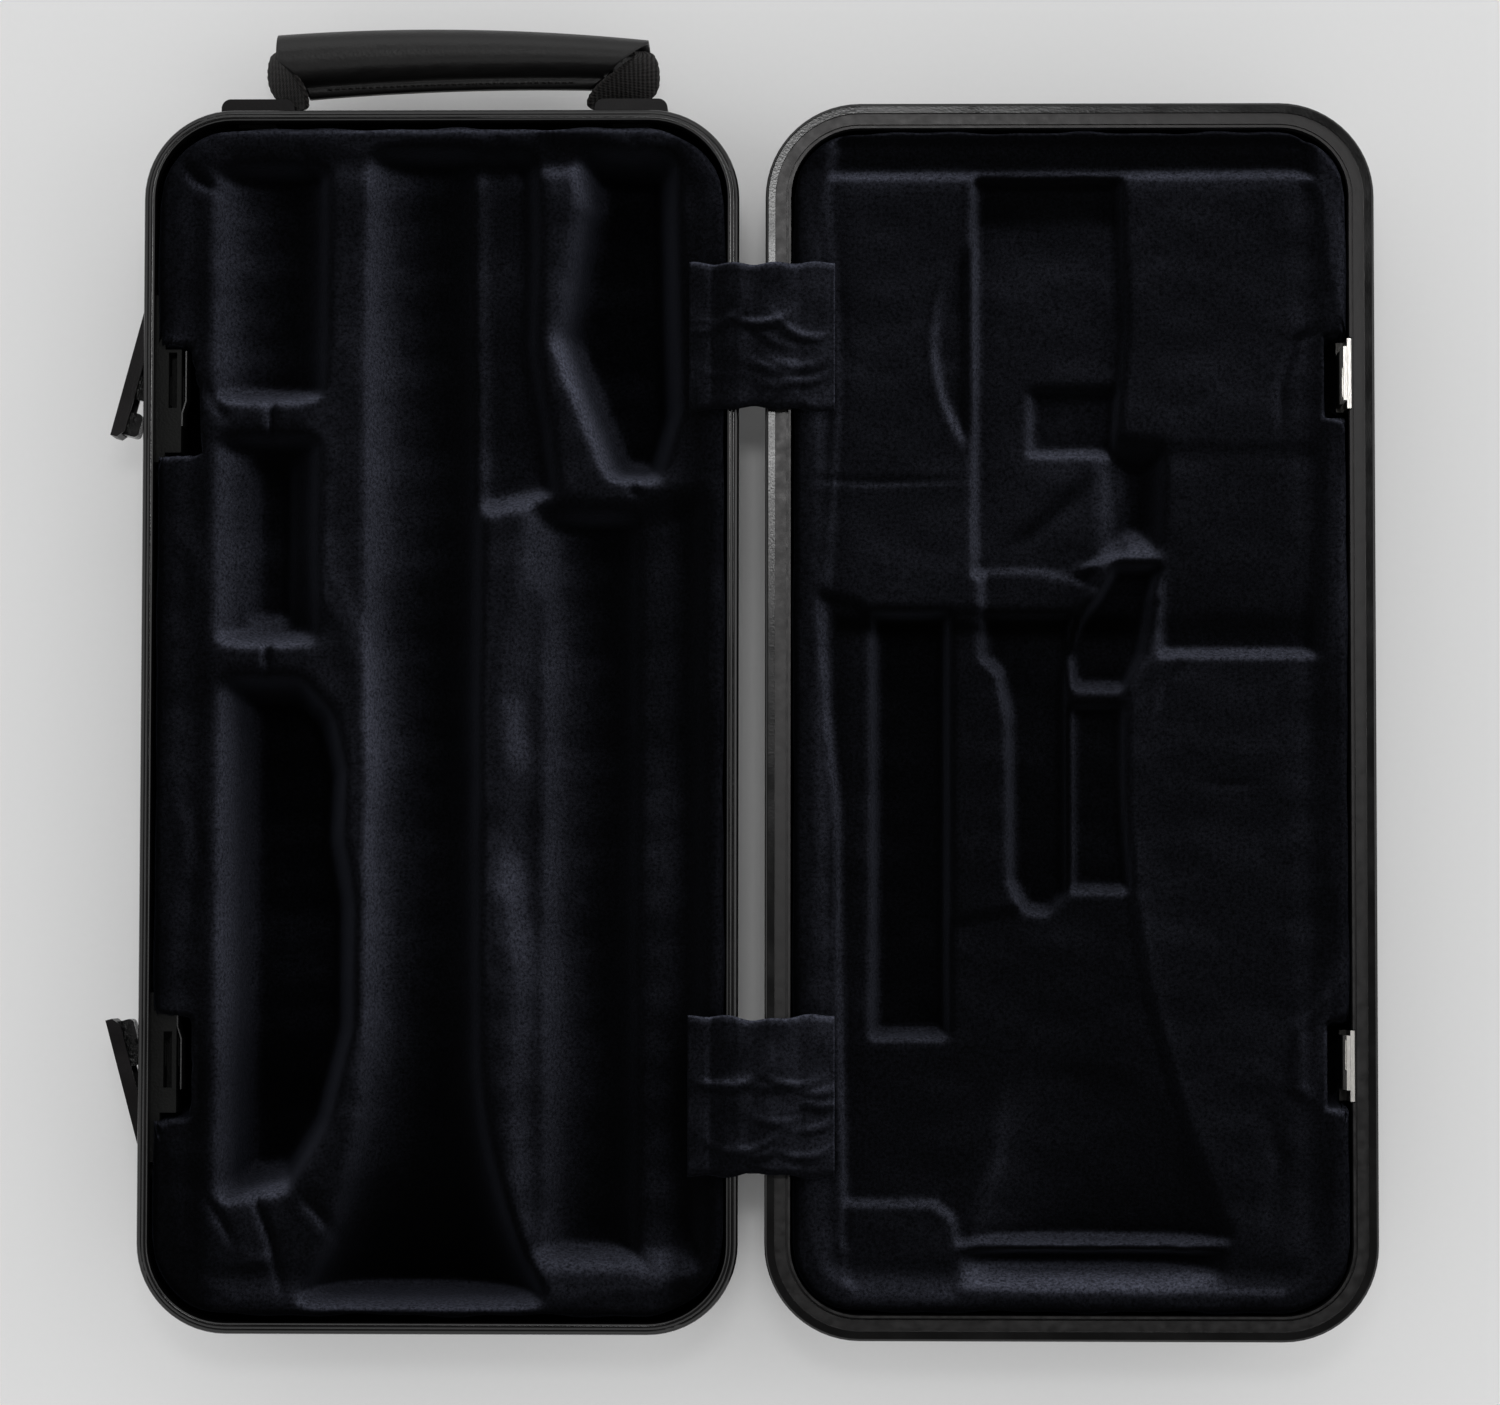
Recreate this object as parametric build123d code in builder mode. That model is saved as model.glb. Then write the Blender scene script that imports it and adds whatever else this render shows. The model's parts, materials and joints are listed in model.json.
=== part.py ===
# Clarinet case, lying open: base with pockets, lid, two hinges, two latches and a handle.
# Origin at the centre of the base's underside, +X towards the hinges and the open lid,
# +Y towards the handle, +Z up. Millimetres.

import os
from math import cos, radians, sin

from build123d import *

# Overall
base_width = 190.0
base_length = 389.0
corner_radius = 28.5
base_depth = 52.0
lid_overhang = 1.6
shell_wall = 2.0
shell_edge_radius = 14.0

# Base rim bead
bead_width = 3.8
crown_width = 2.0
crown_height = 1.0
crown_round = 0.9
shoulder_drop = 0.4
shoulder_round = 1.7
rim_skirt = 4.0
wall_setback = 1.1
wall_top_drop = 1.5

# Lid rim, seat band and inner lip
lip_width = 3.1
lip_round = 1.0
band_width = 3.5
band_drop = 1.3
groove_width = 0.8
groove_depth = 1.2
inner_lip_width = 0.7
inner_lip_height = 1.0
seat_thickness = 1.2
seat_leg = 6.0

# Linings and foam inserts
lining_drop = 1.5
lining_thickness = 1.2
lining_skirt = 6.0
base_lining_inset = 6.8
lid_lining_inset = 8.0
insert_edge_radius = 12.0
locating_band = (16.0, 28.0)
locating_clearance = 0.3
pocket_draft = 6.0
pocket_corner = 5.0
soft_edge = 1.0
tool_overrun = 1.0

# Base pockets, in the base's own plan, drawn for this size of plan
drawn_plan = (190.0, 389.0)
joint_x = -5.0
joint_radius = 17.5
joint_end_y = 181.0
bell_start_y = -100.0
bell_middle = (24.0, -150.0)
bell_radius = 38.5
bell_end_y = -183.0
bell_mouth_slope = (1, -1.2)
barrel_x = -53.75
barrel_radius = 17.25
barrel_ends = (103.0, 176.0)
mouthpiece_x = -55.0
mouthpiece_radius = 15.0
mouthpiece_ends = (25.6, 89.0)
mouthpiece_slot = [(-62, 83), (-48, 83), (-48, 32), (-62, 32)]
mouthpiece_slot_depth = 21.0
accessory_outline = [(-65, 9.7), (-39, 8), (-33, -12), (-32.5, -95), (-44, -139), (-58, -148), (-65, -147)]
accessory_depth = 34.0
keys_outline = [(6, 178), (27, 178), (27, 75), (6, 75)]
keys_depth = 12.0
small_outline = [(34, 130), (47, 178), (72, 178), (72, 76), (53, 76)]
small_depth = 30.0
upper_outline = [(28.6, 67), (82.5, 67), (82.5, -173), (28.6, -173)]
upper_depth = 8.0
upper_trough_x = 48.4
upper_trough_radius = 15.5
upper_trough_drop = 3.0
upper_trough_ends = (-170.0, 64.0)

# Lid relief, in the lid's own plan
middle_outline = [(-30, 172), (16, 172), (16, 51), (28, 38), (14, 30), (-30, 30)]
middle_depth = 9.0
side_outline = [(10, 86), (74, 86), (74, 22), (34, 22), (30, 52), (10, 60)]
side_depth = 9.0
lid_joint_x = 5.0
lid_joint_radius = 15.0
lid_joint_top_y = 32.0
lid_bell_start_y = -70.0
lid_bell_middle = (20.0, -130.0)
lid_bell_radius = 37.0
lid_bell_end_y = -170.0
bell_rim_radius = 41.0
bell_rim_end_y = -181.0
lid_trough_outline = [(-63, 32), (-38, 32), (-38, -103), (-63, -103)]
lid_trough_depth = 16.0
crescent_x = 9.4
crescent_y = 118.5
crescent_radius = 55.4
crescent_width = 5.0
crescent_depth = 3.0
crescent_share = 0.85

# Hinges
hinge_gap = 5.0
hinge_share = 0.732
hinge_width = 44.0
leaf_thickness = 1.2
leaf_drop = 16.0
leaf_hem = 5.0
knuckle_radius = 2.6
knuckle_count = 5
knuckle_gap = 0.3
hinge_notch_gap = 0.3
pin_radius = 1.25
running_clearance = 0.05

# Rivets and screws
rivet_radius = 1.5
rivet_head_radius = 2.6
rivet_head_height = 0.9
rivet_head_taper = 25.0
rivet_spacing = 15.0
screw_radius = 1.6
screw_head_radius = 2.8
screw_head_height = 1.5
screw_bite = 4.0

# Latches: the claw's spans are measured along the closed lever from its pivot, the others
# along Y from the tooth's middle, away from the case's middle
latch_share = 0.6386
lever_reaches = {1: 25.7, -1: 30.8}
lever_heel_radius = 2.6
lever_open_angle = 15.0
lever_width = 4.2
lever_length = 43.0
lever_height = 13.0
lever_wall = 1.2
lever_end_cut = 2.5
lever_solid_end = 1.0
lever_pin_radius = 1.2
lever_top_drop = 5.5
tooth_width = 8.0
tooth_reach = 8.4
tooth_height = 2.6
tooth_drop = 2.6
claw_span = (34.0, 41.6)
claw_reach = 5.6
claw_height = 8.0
claw_plate = 1.2
claw_plate_lead = 5.0
claw_round = 1.5

# Latch housings
housing_wall = 0.8
housing_ear = 7.0
recess_depth = 5.6
recess_floor = 1.0
finger_gap = 6.0
chamber_depth = 11.8
chamber_spans = {1: (-21.0, 12.0), -1: (-13.0, 19.0)}
ear_drop = 1.0
play = 0.4
swing_play = 1.4
spring_thickness = 0.4
spring_stand = 1.2
spring_length = 20.0
spring_height = 9.0
spring_foot = 4.0

# Strikes on the lid, with spans of Y from the tooth's middle
tongue_inset = 8.5
tongue_thickness = 1.1
tongue_span = (-6.3, 10.7)
tongue_height = 12.0
clip_inset = 6.0
clip_thickness = 1.3
clip_span = (-7.7, 14.6)
clip_height = 1.2
strike_foot_drop = 12.0
strike_plate_height = 10.0
strike_rivet_spacing = 14.0
lining_cut_span = (-22.0, 20.0)
base_cut_depth = 9.9
lid_cut_depth = 5.5

# Handle
foot_share = 0.6316
foot_width = 23.4
foot_reach = 6.2
foot_height = 28.0
foot_round = 3.0
foot_slot_depth = 15.0
foot_slot_play = 0.35
handle_z = 28.0
strap_width = 18.0
strap_thickness = 2.0
strap_bend = 1.75
strap_curl = 2.6
strap_end_gap = 3.0
strap_stand = 1.4
strap_rise = 5.7
strap_bulge = {-1: 2.9, 1: 2.4}
strap_room = 0.6
wedge_run = 2.0
screw_offset = 11.4
backing_thickness = 1.2
backing_width = 12.0
grip_overruns = (6.4, 15.8)
grip_offset = 18.7
grip_arch = 2.1
grip_width = 17.0
grip_height = 22.0
seam_length = 2.2
seam_thickness = 3.0
core_thickness = 2.0
core_drop = 1.0
core_inset = 7.0
core_play = 0.2

# Velvet hinge covers
cover_width = 48.0
cover_thickness = 1.0
cover_base_reach = 21.0
cover_lid_reach = 24.0
cover_rise = 4.0
cover_gap = 0.4
cover_bend = 2.0
cover_base_foot = 1.0
cover_lid_shoulder = 3.0
cover_lid_foot = 2.0
cover_waist = 3.0

# Places worked out from the sizes above
lid_depth = base_depth
x_share = base_width / drawn_plan[0]
y_share = base_length / drawn_plan[1]
sides = {"upper": 1, "lower": -1}
half_width = base_width / 2
half_length = base_length / 2
straight_y = half_length - corner_radius
hinge_y = hinge_share * straight_y
tooth_y = latch_share * straight_y
lever_pivots = {side: tooth_y + reach for side, reach in lever_reaches.items()}
tooth_span = (-tooth_width / 2, tooth_width / 2)
foot_x = foot_share * half_width
parting_z = base_depth
lid_bottom_z = parting_z - lid_depth
wall_top_z = parting_z - wall_top_drop
lining_z = parting_z - lining_drop
skirt_z = parting_z - rim_skirt
shoulder_z = parting_z - shoulder_drop
crown_z = parting_z + crown_height
hinge_x = half_width + hinge_gap
lid_x = 2 * hinge_x
lid_wall_inset = lip_width - lid_overhang - shell_wall
lip_inner_inset = lip_width - lid_overhang
band_inner_inset = lip_inner_inset + band_width
groove_inner_inset = band_inner_inset + groove_width
seat_inner_inset = groove_inner_inset + inner_lip_width
band_z = parting_z - band_drop
groove_z = band_z - groove_depth
seat_z = groove_z - seat_thickness
base_wall_out = half_width - wall_setback
base_wall_in = base_wall_out - shell_wall
end_wall_y = half_length - wall_setback
lid_wall_in = half_width - lip_inner_inset
lid_wall_out = lid_wall_in + shell_wall
leaf_z = parting_z - leaf_drop
leaf_rivet_z = leaf_z + leaf_hem
arm_z = wall_top_z + leaf_thickness
lever_top_z = parting_z - lever_top_drop
lever_low_z = lever_top_z - lever_height
housing_top_z = lever_top_z + play + housing_wall
housing_low_z = lever_low_z - play - housing_wall
recess_x = recess_depth - half_width
recess_back_x = recess_x + recess_floor
chamber_x = chamber_depth - half_width
pivot_x = lever_heel_radius - half_width
tooth_top_z = lever_top_z - tooth_drop
tooth_low_z = tooth_top_z - tooth_height
claw_low_z = (lever_top_z + lever_low_z - claw_height) / 2
tongue_x = half_width - tongue_inset
clip_x = half_width - clip_inset
strike_foot_z = parting_z - strike_foot_drop
strike_rivet_z = strike_foot_z - strike_plate_height / 2
foot_out_y = end_wall_y + foot_reach
strap_y = end_wall_y + foot_reach / 2
grip_y = half_length + grip_offset
foot_end_x = foot_x - foot_width / 2
grip_ends = (-foot_end_x - grip_overruns[0], foot_end_x + grip_overruns[1])
screw_heights = (handle_z - screw_offset, handle_z + screw_offset)

os.makedirs("parts", exist_ok=True)


def save(part, name):
    part.label = name
    export_step(part, f"parts/{name}.step")


def outline(inset, mode=Mode.ADD):
    # the case's plan outline, drawn in by a distance
    width = base_width - 2 * inset
    length = base_length - 2 * inset
    RectangleRounded(width, length, corner_radius - inset, mode=mode)


def slab(inset, low, high, x=0.0, mode=Mode.ADD):
    with BuildSketch(Plane((x, 0, low))) as plan:
        outline(inset)
    extrude(plan.sketch, amount=high - low, mode=mode)


def ring(outer, inner, low, high, x=0.0, mode=Mode.ADD):
    with BuildSketch(Plane((x, 0, low))) as plan:
        outline(outer)
        outline(inner, mode=Mode.SUBTRACT)
    extrude(plan.sketch, amount=high - low, mode=mode)


def at_height(z):
    # the active part's edges that lie at one height
    return edges().filter_by_position(Axis.Z, z - 0.01, z + 0.01)


def tub(inset, low, high, radius, x=0.0):
    # a solid block with rounded bottom edges
    with BuildPart() as solid:
        slab(inset, low, high, x)
        fillet(at_height(low), radius)
    return solid.part


def block(x_range, y_range, z_range, mode=Mode.ADD):
    spans = [sorted(span) for span in (x_range, y_range, z_range)]
    size = [high - low for low, high in spans]
    centre = [(high + low) / 2 for low, high in spans]
    with Locations(tuple(centre)):
        Box(*size, mode=mode)


def rod(start, direction, radius, length, mode=Mode.ADD):
    with BuildSketch(Plane(origin=start, z_dir=direction)) as section:
        Circle(radius)
    extrude(section.sketch, amount=length, mode=mode)


def across(side, span):
    # a span of Y given for the upper side, on either side
    return (side * span[0], side * span[1])


def by_tooth(side, span, near_room=0.0, far_room=0.0):
    # a span measured from the tooth's middle, as a span of Y on that side
    near, far = span
    return across(side, (tooth_y + near - near_room, tooth_y + far + far_room))


def in_plan(points):
    # points of the drawn plan, spread to the case's own width and length
    return [(x * x_share, y * y_share) for x, y in points]


# Shells


def leaf_rivets(side):
    return [side * hinge_y + step * rivet_spacing for step in (-1, 0, 1)]


def strike_rivets(side):
    middle = sum(by_tooth(side, clip_span)) / 2
    return [middle + step * strike_rivet_spacing / 2 for step in (-1, 1)]


def recess_span(side, margin=0.0):
    near = lever_pivots[side] - lever_length - finger_gap - margin
    far = lever_pivots[side] + lever_heel_radius + play + margin
    return across(side, (near, far))


def ear_rivets(side):
    return recess_span(side, housing_wall + housing_ear / 2)


base_hollow = tub(wall_setback + shell_wall, shell_wall, wall_top_z, shell_edge_radius - shell_wall)
base_body = tub(wall_setback, 0, wall_top_z, shell_edge_radius)

with BuildPart() as base_shell:
    add(base_body)
    add(base_hollow, mode=Mode.SUBTRACT)
    for side in sides.values():
        opening = recess_span(side, housing_wall)
        block((-base_wall_out, -base_wall_in), opening, (housing_low_z, housing_top_z), Mode.SUBTRACT)
        for y in leaf_rivets(side):
            rod((base_wall_in, y, leaf_rivet_z), (1, 0, 0), rivet_radius, shell_wall, Mode.SUBTRACT)
        for y in ear_rivets(side):
            start = (-base_wall_in, y, (housing_low_z + housing_top_z) / 2)
            rod(start, (-1, 0, 0), rivet_radius, shell_wall, Mode.SUBTRACT)
        for z in screw_heights:
            start = (side * foot_x, end_wall_y, z)
            rod(start, (0, -1, 0), screw_radius, shell_wall, Mode.SUBTRACT)
save(base_shell.part, "base_shell")

lid_floor_z = lid_bottom_z + shell_wall
lid_hollow = tub(lid_wall_inset + shell_wall, lid_floor_z, wall_top_z, shell_edge_radius - shell_wall, lid_x)
lid_body = tub(lid_wall_inset, lid_bottom_z, wall_top_z, shell_edge_radius, lid_x)

with BuildPart() as lid_shell:
    add(lid_body)
    add(lid_hollow, mode=Mode.SUBTRACT)
    for side in sides.values():
        for y in leaf_rivets(side):
            start = (lid_x - lid_wall_in, y, leaf_rivet_z)
            rod(start, (-1, 0, 0), rivet_radius, shell_wall, Mode.SUBTRACT)
        for y in strike_rivets(side):
            start = (lid_x + lid_wall_in, y, strike_rivet_z)
            rod(start, (1, 0, 0), rivet_radius, shell_wall, Mode.SUBTRACT)
save(lid_shell.part, "lid_shell")


# Rims


def hinge_span(side, margin):
    reach = hinge_width / 2 + margin
    return (side * hinge_y - reach, side * hinge_y + reach)


with BuildPart() as base_rim:
    ring(0, bead_width, skirt_z, shoulder_z)
    fillet(faces().sort_by(Axis.Z)[-1].outer_wire().edges(), shoulder_round)
    ring(bead_width - crown_width, bead_width, shoulder_z, crown_z)
    fillet(at_height(crown_z), crown_round)
    ring(wall_setback, wall_setback + shell_wall, skirt_z, wall_top_z, mode=Mode.SUBTRACT)
    for side in sides.values():
        span = hinge_span(side, hinge_notch_gap)
        start_x = half_width - bead_width - tool_overrun
        upper = (wall_top_z, crown_z + tool_overrun)
        block((start_x, half_width + tool_overrun), span, upper, Mode.SUBTRACT)
        block((start_x, base_wall_in), span, (skirt_z - tool_overrun, wall_top_z), Mode.SUBTRACT)
save(base_rim.part, "base_rim")

with BuildPart() as lid_rim:
    ring(-lid_overhang, lip_inner_inset, skirt_z, parting_z, lid_x)
    fillet(faces().sort_by(Axis.Z)[-1].outer_wire().edges(), lip_round)
    ring(lid_wall_inset, lip_inner_inset, skirt_z, wall_top_z, lid_x, Mode.SUBTRACT)
    for side in sides.values():
        outer_x = lid_x - half_width - lid_overhang - tool_overrun
        notch = (outer_x, lid_x - lid_wall_in + tool_overrun)
        heights = (wall_top_z, parting_z + tool_overrun)
        block(notch, hinge_span(side, hinge_notch_gap), heights, Mode.SUBTRACT)
save(lid_rim.part, "lid_rim")

with BuildPart() as lid_seat:
    ring(lip_inner_inset, seat_inner_inset, seat_z, band_z, lid_x)
    ring(groove_inner_inset, seat_inner_inset, band_z, parting_z + inner_lip_height, lid_x)
    ring(band_inner_inset, groove_inner_inset, groove_z, band_z, lid_x, Mode.SUBTRACT)
    ring(lip_inner_inset, lip_inner_inset + seat_thickness, seat_z - seat_leg, seat_z, lid_x)
    for side in sides.values():
        notch = (lid_x - half_width, lid_x - half_width + seat_inner_inset + tool_overrun)
        low = seat_z - seat_leg - tool_overrun
        heights = (low, parting_z + inner_lip_height + tool_overrun)
        block(notch, hinge_span(side, hinge_notch_gap), heights, Mode.SUBTRACT)
        start_x = lid_x + half_width - seat_inner_inset - tool_overrun
        clip_notch = (start_x, lid_x + half_width - clip_inset + play)
        block(clip_notch, by_tooth(side, clip_span, play, play), heights, Mode.SUBTRACT)
save(lid_seat.part, "lid_seat")


# Linings and inserts


def pocket(points, depth, grow, mode, x=0.0):
    with BuildSketch(Plane((x, 0, lining_z))) as plan:
        with BuildLine():
            Polyline(in_plan(points), close=True)
        make_face()
        fillet(vertices(), pocket_corner)
        if grow:
            offset(amount=grow)
    extrude(plan.sketch, amount=-(depth + grow), taper=pocket_draft, mode=mode)


def trough(x, radius, ends, grow, mode, drop=0.0):
    # a half-round trough along Y
    low, high = (end * y_share for end in ends)
    with BuildSketch(Plane((x, 0, lining_z - drop))) as plan:
        with BuildLine():
            reach = radius + grow
            Polyline((0, low - grow), (reach, low - grow), (reach, high + grow), (0, high + grow), close=True)
        make_face()
    axis = Axis((x, 0, lining_z - drop), (0, 1, 0))
    revolve(plan.sketch, axis=axis, revolution_arc=180, mode=mode)


def bell_trough(x, top_y, start_y, middle, end_y, radii, grow, mode):
    # a half-round trough that flares into the bell
    narrow, wide = radii[0] + grow, radii[1] + grow
    top_y, start_y, end_y = (y * y_share for y in (top_y, start_y, end_y))
    with BuildSketch(Plane((x, 0, lining_z))) as plan:
        with BuildLine():
            straight = Line((narrow, top_y + grow), (narrow, start_y))
            flare = Spline(
                straight @ 1,
                (middle[0] + grow, middle[1] * y_share),
                (wide, end_y - grow),
                tangents=[(0, -1), bell_mouth_slope],
            )
            Polyline(flare @ 1, (0, end_y - grow), (0, top_y + grow), straight @ 0)
        make_face()
    axis = Axis((x, 0, lining_z), (0, 1, 0))
    revolve(plan.sketch, axis=axis, revolution_arc=180, mode=mode)


def base_pockets(grow, mode):
    radii = (joint_radius, bell_radius)
    bell_trough(joint_x * x_share, joint_end_y, bell_start_y, bell_middle, bell_end_y, radii, grow, mode)
    trough(barrel_x * x_share, barrel_radius, barrel_ends, grow, mode)
    trough(mouthpiece_x * x_share, mouthpiece_radius, mouthpiece_ends, grow, mode)
    pocket(mouthpiece_slot, mouthpiece_slot_depth, grow, mode)
    pocket(accessory_outline, accessory_depth, grow, mode)
    pocket(keys_outline, keys_depth, grow, mode)
    pocket(small_outline, small_depth, grow, mode)
    pocket(upper_outline, upper_depth, grow, mode)
    trough_x = upper_trough_x * x_share
    trough(trough_x, upper_trough_radius, upper_trough_ends, grow, mode, upper_trough_drop)


def crescent(grow, mode):
    # a shallow finger hollow, cut as the far side of a ring
    centre = (lid_x + crescent_x * x_share, crescent_y * y_share, lining_z)
    with BuildSketch(Plane(centre)) as plan:
        Circle(crescent_radius + crescent_width / 2 + grow)
        Circle(crescent_radius - crescent_width / 2 - grow, mode=Mode.SUBTRACT)
        reach = 2 * crescent_radius
        with Locations((reach - crescent_share * crescent_radius, 0)):
            Rectangle(2 * reach, 2 * reach, mode=Mode.SUBTRACT)
    extrude(plan.sketch, amount=-(crescent_depth + grow), mode=mode)


def lid_pockets(grow, mode):
    axis_x = lid_x + lid_joint_x * x_share
    radii = (lid_joint_radius, lid_bell_radius)
    ends = (lid_bell_start_y, lid_bell_middle, lid_bell_end_y)
    bell_trough(axis_x, lid_joint_top_y, *ends, radii, grow, mode)
    trough(axis_x, bell_rim_radius, (bell_rim_end_y, lid_bell_end_y), grow, mode)
    pocket(middle_outline, middle_depth, grow, mode, lid_x)
    pocket(side_outline, side_depth, grow, mode, lid_x)
    pocket(lid_trough_outline, lid_trough_depth, grow, mode, lid_x)
    crescent(grow, mode)


def lining_cap(inset, x):
    # the lining's flat top with its turned-down edge
    ring(inset, inset + lining_thickness, lining_z - lining_skirt, lining_z, x)
    slab(inset + lining_thickness, lining_z - lining_thickness, lining_z, x)


def foam(inset, floor_z, x):
    core = inset + lining_thickness
    return tub(core, floor_z, lining_z - lining_thickness, insert_edge_radius, x)


base_foam = foam(base_lining_inset, shell_wall, 0)
lid_foam = foam(lid_lining_inset, lid_floor_z, lid_x)


def base_cut(side, low):
    # the lining and insert stop short of the latch
    edge = half_width - base_lining_inset
    span = by_tooth(side, lining_cut_span)
    heights = (low, lining_z + tool_overrun)
    block((-edge - tool_overrun, base_cut_depth - edge), span, heights, Mode.SUBTRACT)


def lid_cut(side, low):
    edge = lid_x + half_width - lid_lining_inset
    span = by_tooth(side, lining_cut_span)
    heights = (low, lining_z + tool_overrun)
    block((edge - lid_cut_depth, edge + tool_overrun), span, heights, Mode.SUBTRACT)


with BuildPart() as base_lining:
    lining_cap(base_lining_inset, 0)
    base_pockets(lining_thickness, Mode.ADD)
    base_pockets(0, Mode.SUBTRACT)
    fillet(at_height(lining_z), soft_edge)
    for side in sides.values():
        base_cut(side, shell_wall)
save(base_lining.part, "base_lining")

with BuildPart() as base_insert:
    add(base_foam)
    low, high = locating_band
    ring(wall_setback + shell_wall + locating_clearance, base_lining_inset + 2 * lining_thickness, low, high)
    for side in sides.values():
        base_cut(side, high)
        reach = backing_width / 2 + tool_overrun
        plate = (side * foot_x - reach, side * foot_x + reach)
        clear_y = half_length - base_lining_inset - lining_thickness
        heights = (low - tool_overrun, high + tool_overrun)
        block(plate, (clear_y, half_length), heights, Mode.SUBTRACT)
    base_pockets(lining_thickness, Mode.SUBTRACT)
save(base_insert.part, "base_insert")

with BuildPart() as lid_lining:
    lining_cap(lid_lining_inset, lid_x)
    fillet(at_height(lining_z), soft_edge)
    lid_pockets(lining_thickness, Mode.ADD)
    lid_pockets(0, Mode.SUBTRACT)
    for side in sides.values():
        lid_cut(side, lid_floor_z)
save(lid_lining.part, "lid_lining")

with BuildPart() as lid_insert:
    add(lid_foam)
    low, high = locating_band
    foot_inset = lid_wall_inset + shell_wall + locating_clearance
    ring(foot_inset, lid_lining_inset + 2 * lining_thickness, low, high, lid_x)
    for side in sides.values():
        lid_cut(side, high)
    lid_pockets(lining_thickness, Mode.SUBTRACT)
save(lid_insert.part, "lid_insert")


# Hinges


def knuckles(side, owned):
    # the spans of Y of the knuckles that one leaf owns
    pitch = (hinge_width + knuckle_gap) / knuckle_count
    low = hinge_span(side, 0)[0]
    return [(low + step * pitch, low + (step + 1) * pitch - knuckle_gap) for step in owned]


def hinge_leaf(side, wall_x, inward, owned, bore):
    inner_x = wall_x + inward * leaf_thickness
    span = hinge_span(side, 0)
    block((wall_x, inner_x), span, (leaf_z, wall_top_z))
    block((inner_x, hinge_x + inward * (knuckle_radius + knuckle_gap)), span, (wall_top_z, arm_z))
    for low, high in knuckles(side, owned):
        block((inner_x, hinge_x), (low, high), (wall_top_z, arm_z))
        rod((hinge_x, low, parting_z), (0, 1, 0), knuckle_radius, high - low)
    for low, high in knuckles(side, owned):
        rod((hinge_x, low, parting_z), (0, 1, 0), bore, high - low, Mode.SUBTRACT)
    for y in leaf_rivets(side):
        rod((inner_x, y, leaf_rivet_z), (-inward, 0, 0), rivet_radius, leaf_thickness, Mode.SUBTRACT)


def rivet(inner, outer):
    # a rivet with a rounded head at each end of the stack that it clamps
    start, end = Vector(*inner), Vector(*outer)
    along = (end - start).normalized()
    rod(inner, along, rivet_radius, (end - start).length)
    for seat, way in ((inner, along * -1), (outer, along)):
        with BuildSketch(Plane(origin=seat, z_dir=way)) as section:
            Circle(rivet_head_radius)
        extrude(section.sketch, amount=rivet_head_height, taper=rivet_head_taper)


for name, side in sides.items():
    with BuildPart() as base_leaf:
        hinge_leaf(side, base_wall_in, -1, range(0, knuckle_count, 2), pin_radius)
    save(base_leaf.part, f"hinge_base_leaf_{name}")

    with BuildPart() as lid_leaf:
        bore = pin_radius + running_clearance
        hinge_leaf(side, lid_x - lid_wall_in, 1, range(1, knuckle_count, 2), bore)
    save(lid_leaf.part, f"hinge_lid_leaf_{name}")

    with BuildPart() as hinge_pin:
        rod((hinge_x, hinge_span(side, 0)[0], parting_z), (0, 1, 0), pin_radius, hinge_width)
    save(hinge_pin.part, f"hinge_pin_{name}")

with BuildPart() as hinge_base_rivets:
    for side in sides.values():
        for y in leaf_rivets(side):
            inner = (base_wall_in - leaf_thickness, y, leaf_rivet_z)
            rivet(inner, (base_wall_out, y, leaf_rivet_z))
save(hinge_base_rivets.part, "hinge_base_rivets")

with BuildPart() as hinge_lid_rivets:
    for side in sides.values():
        for y in leaf_rivets(side):
            inner = (lid_x - lid_wall_in + leaf_thickness, y, leaf_rivet_z)
            rivet(inner, (lid_x - lid_wall_out, y, leaf_rivet_z))
save(hinge_lid_rivets.part, "hinge_lid_rivets")


def cover_path():
    # the cloth's middle line in the XZ plane, arched over the rims and knuckles
    low = lining_z + cover_gap + cover_thickness / 2
    high = parting_z + cover_rise
    base_edge = half_width - base_lining_inset
    lid_edge = lid_x - half_width + lid_lining_inset
    return [
        (hinge_x - cover_base_reach, low),
        (base_edge - cover_base_foot, low),
        (half_width - bead_width, high),
        (lid_edge - cover_lid_shoulder, high),
        (lid_edge + cover_lid_foot, low),
        (hinge_x + cover_lid_reach, low),
    ]


def draw_in(side):
    # the cloth's two free edges, drawn in over the gap
    left, right = hinge_x - cover_base_reach, hinge_x + cover_lid_reach
    with BuildSketch(Plane.XY.offset(lining_z)) as bites:
        for way in (-1, 1):
            edge_y = side * hinge_y + way * cover_width / 2
            with BuildLine():
                bow = ThreePointArc((left, edge_y), (hinge_x, edge_y - way * cover_waist), (right, edge_y))
                Line(bow @ 1, bow @ 0)
            make_face()
    extrude(bites.sketch, amount=parting_z, mode=Mode.SUBTRACT)


for name, side in sides.items():
    with BuildPart() as hinge_cover:
        with BuildSketch(Plane.XZ.offset(-side * hinge_y)) as section:
            with BuildLine():
                FilletPolyline(*cover_path(), radius=cover_bend)
            trace(line_width=cover_thickness)
        extrude(section.sketch, amount=cover_width / 2, both=True)
        draw_in(side)
    save(hinge_cover.part, f"hinge_cover_{name}")


# Latches


def lever_plane(side, z):
    # at the pivot, X along the open lever; inward is +Y on the upper side and -Y on the lower
    angle = radians(lever_open_angle)
    along = (-sin(angle), -side * cos(angle), 0)
    return Plane(origin=(pivot_x, side * lever_pivots[side], z), x_dir=along, z_dir=(0, 0, 1))


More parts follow.
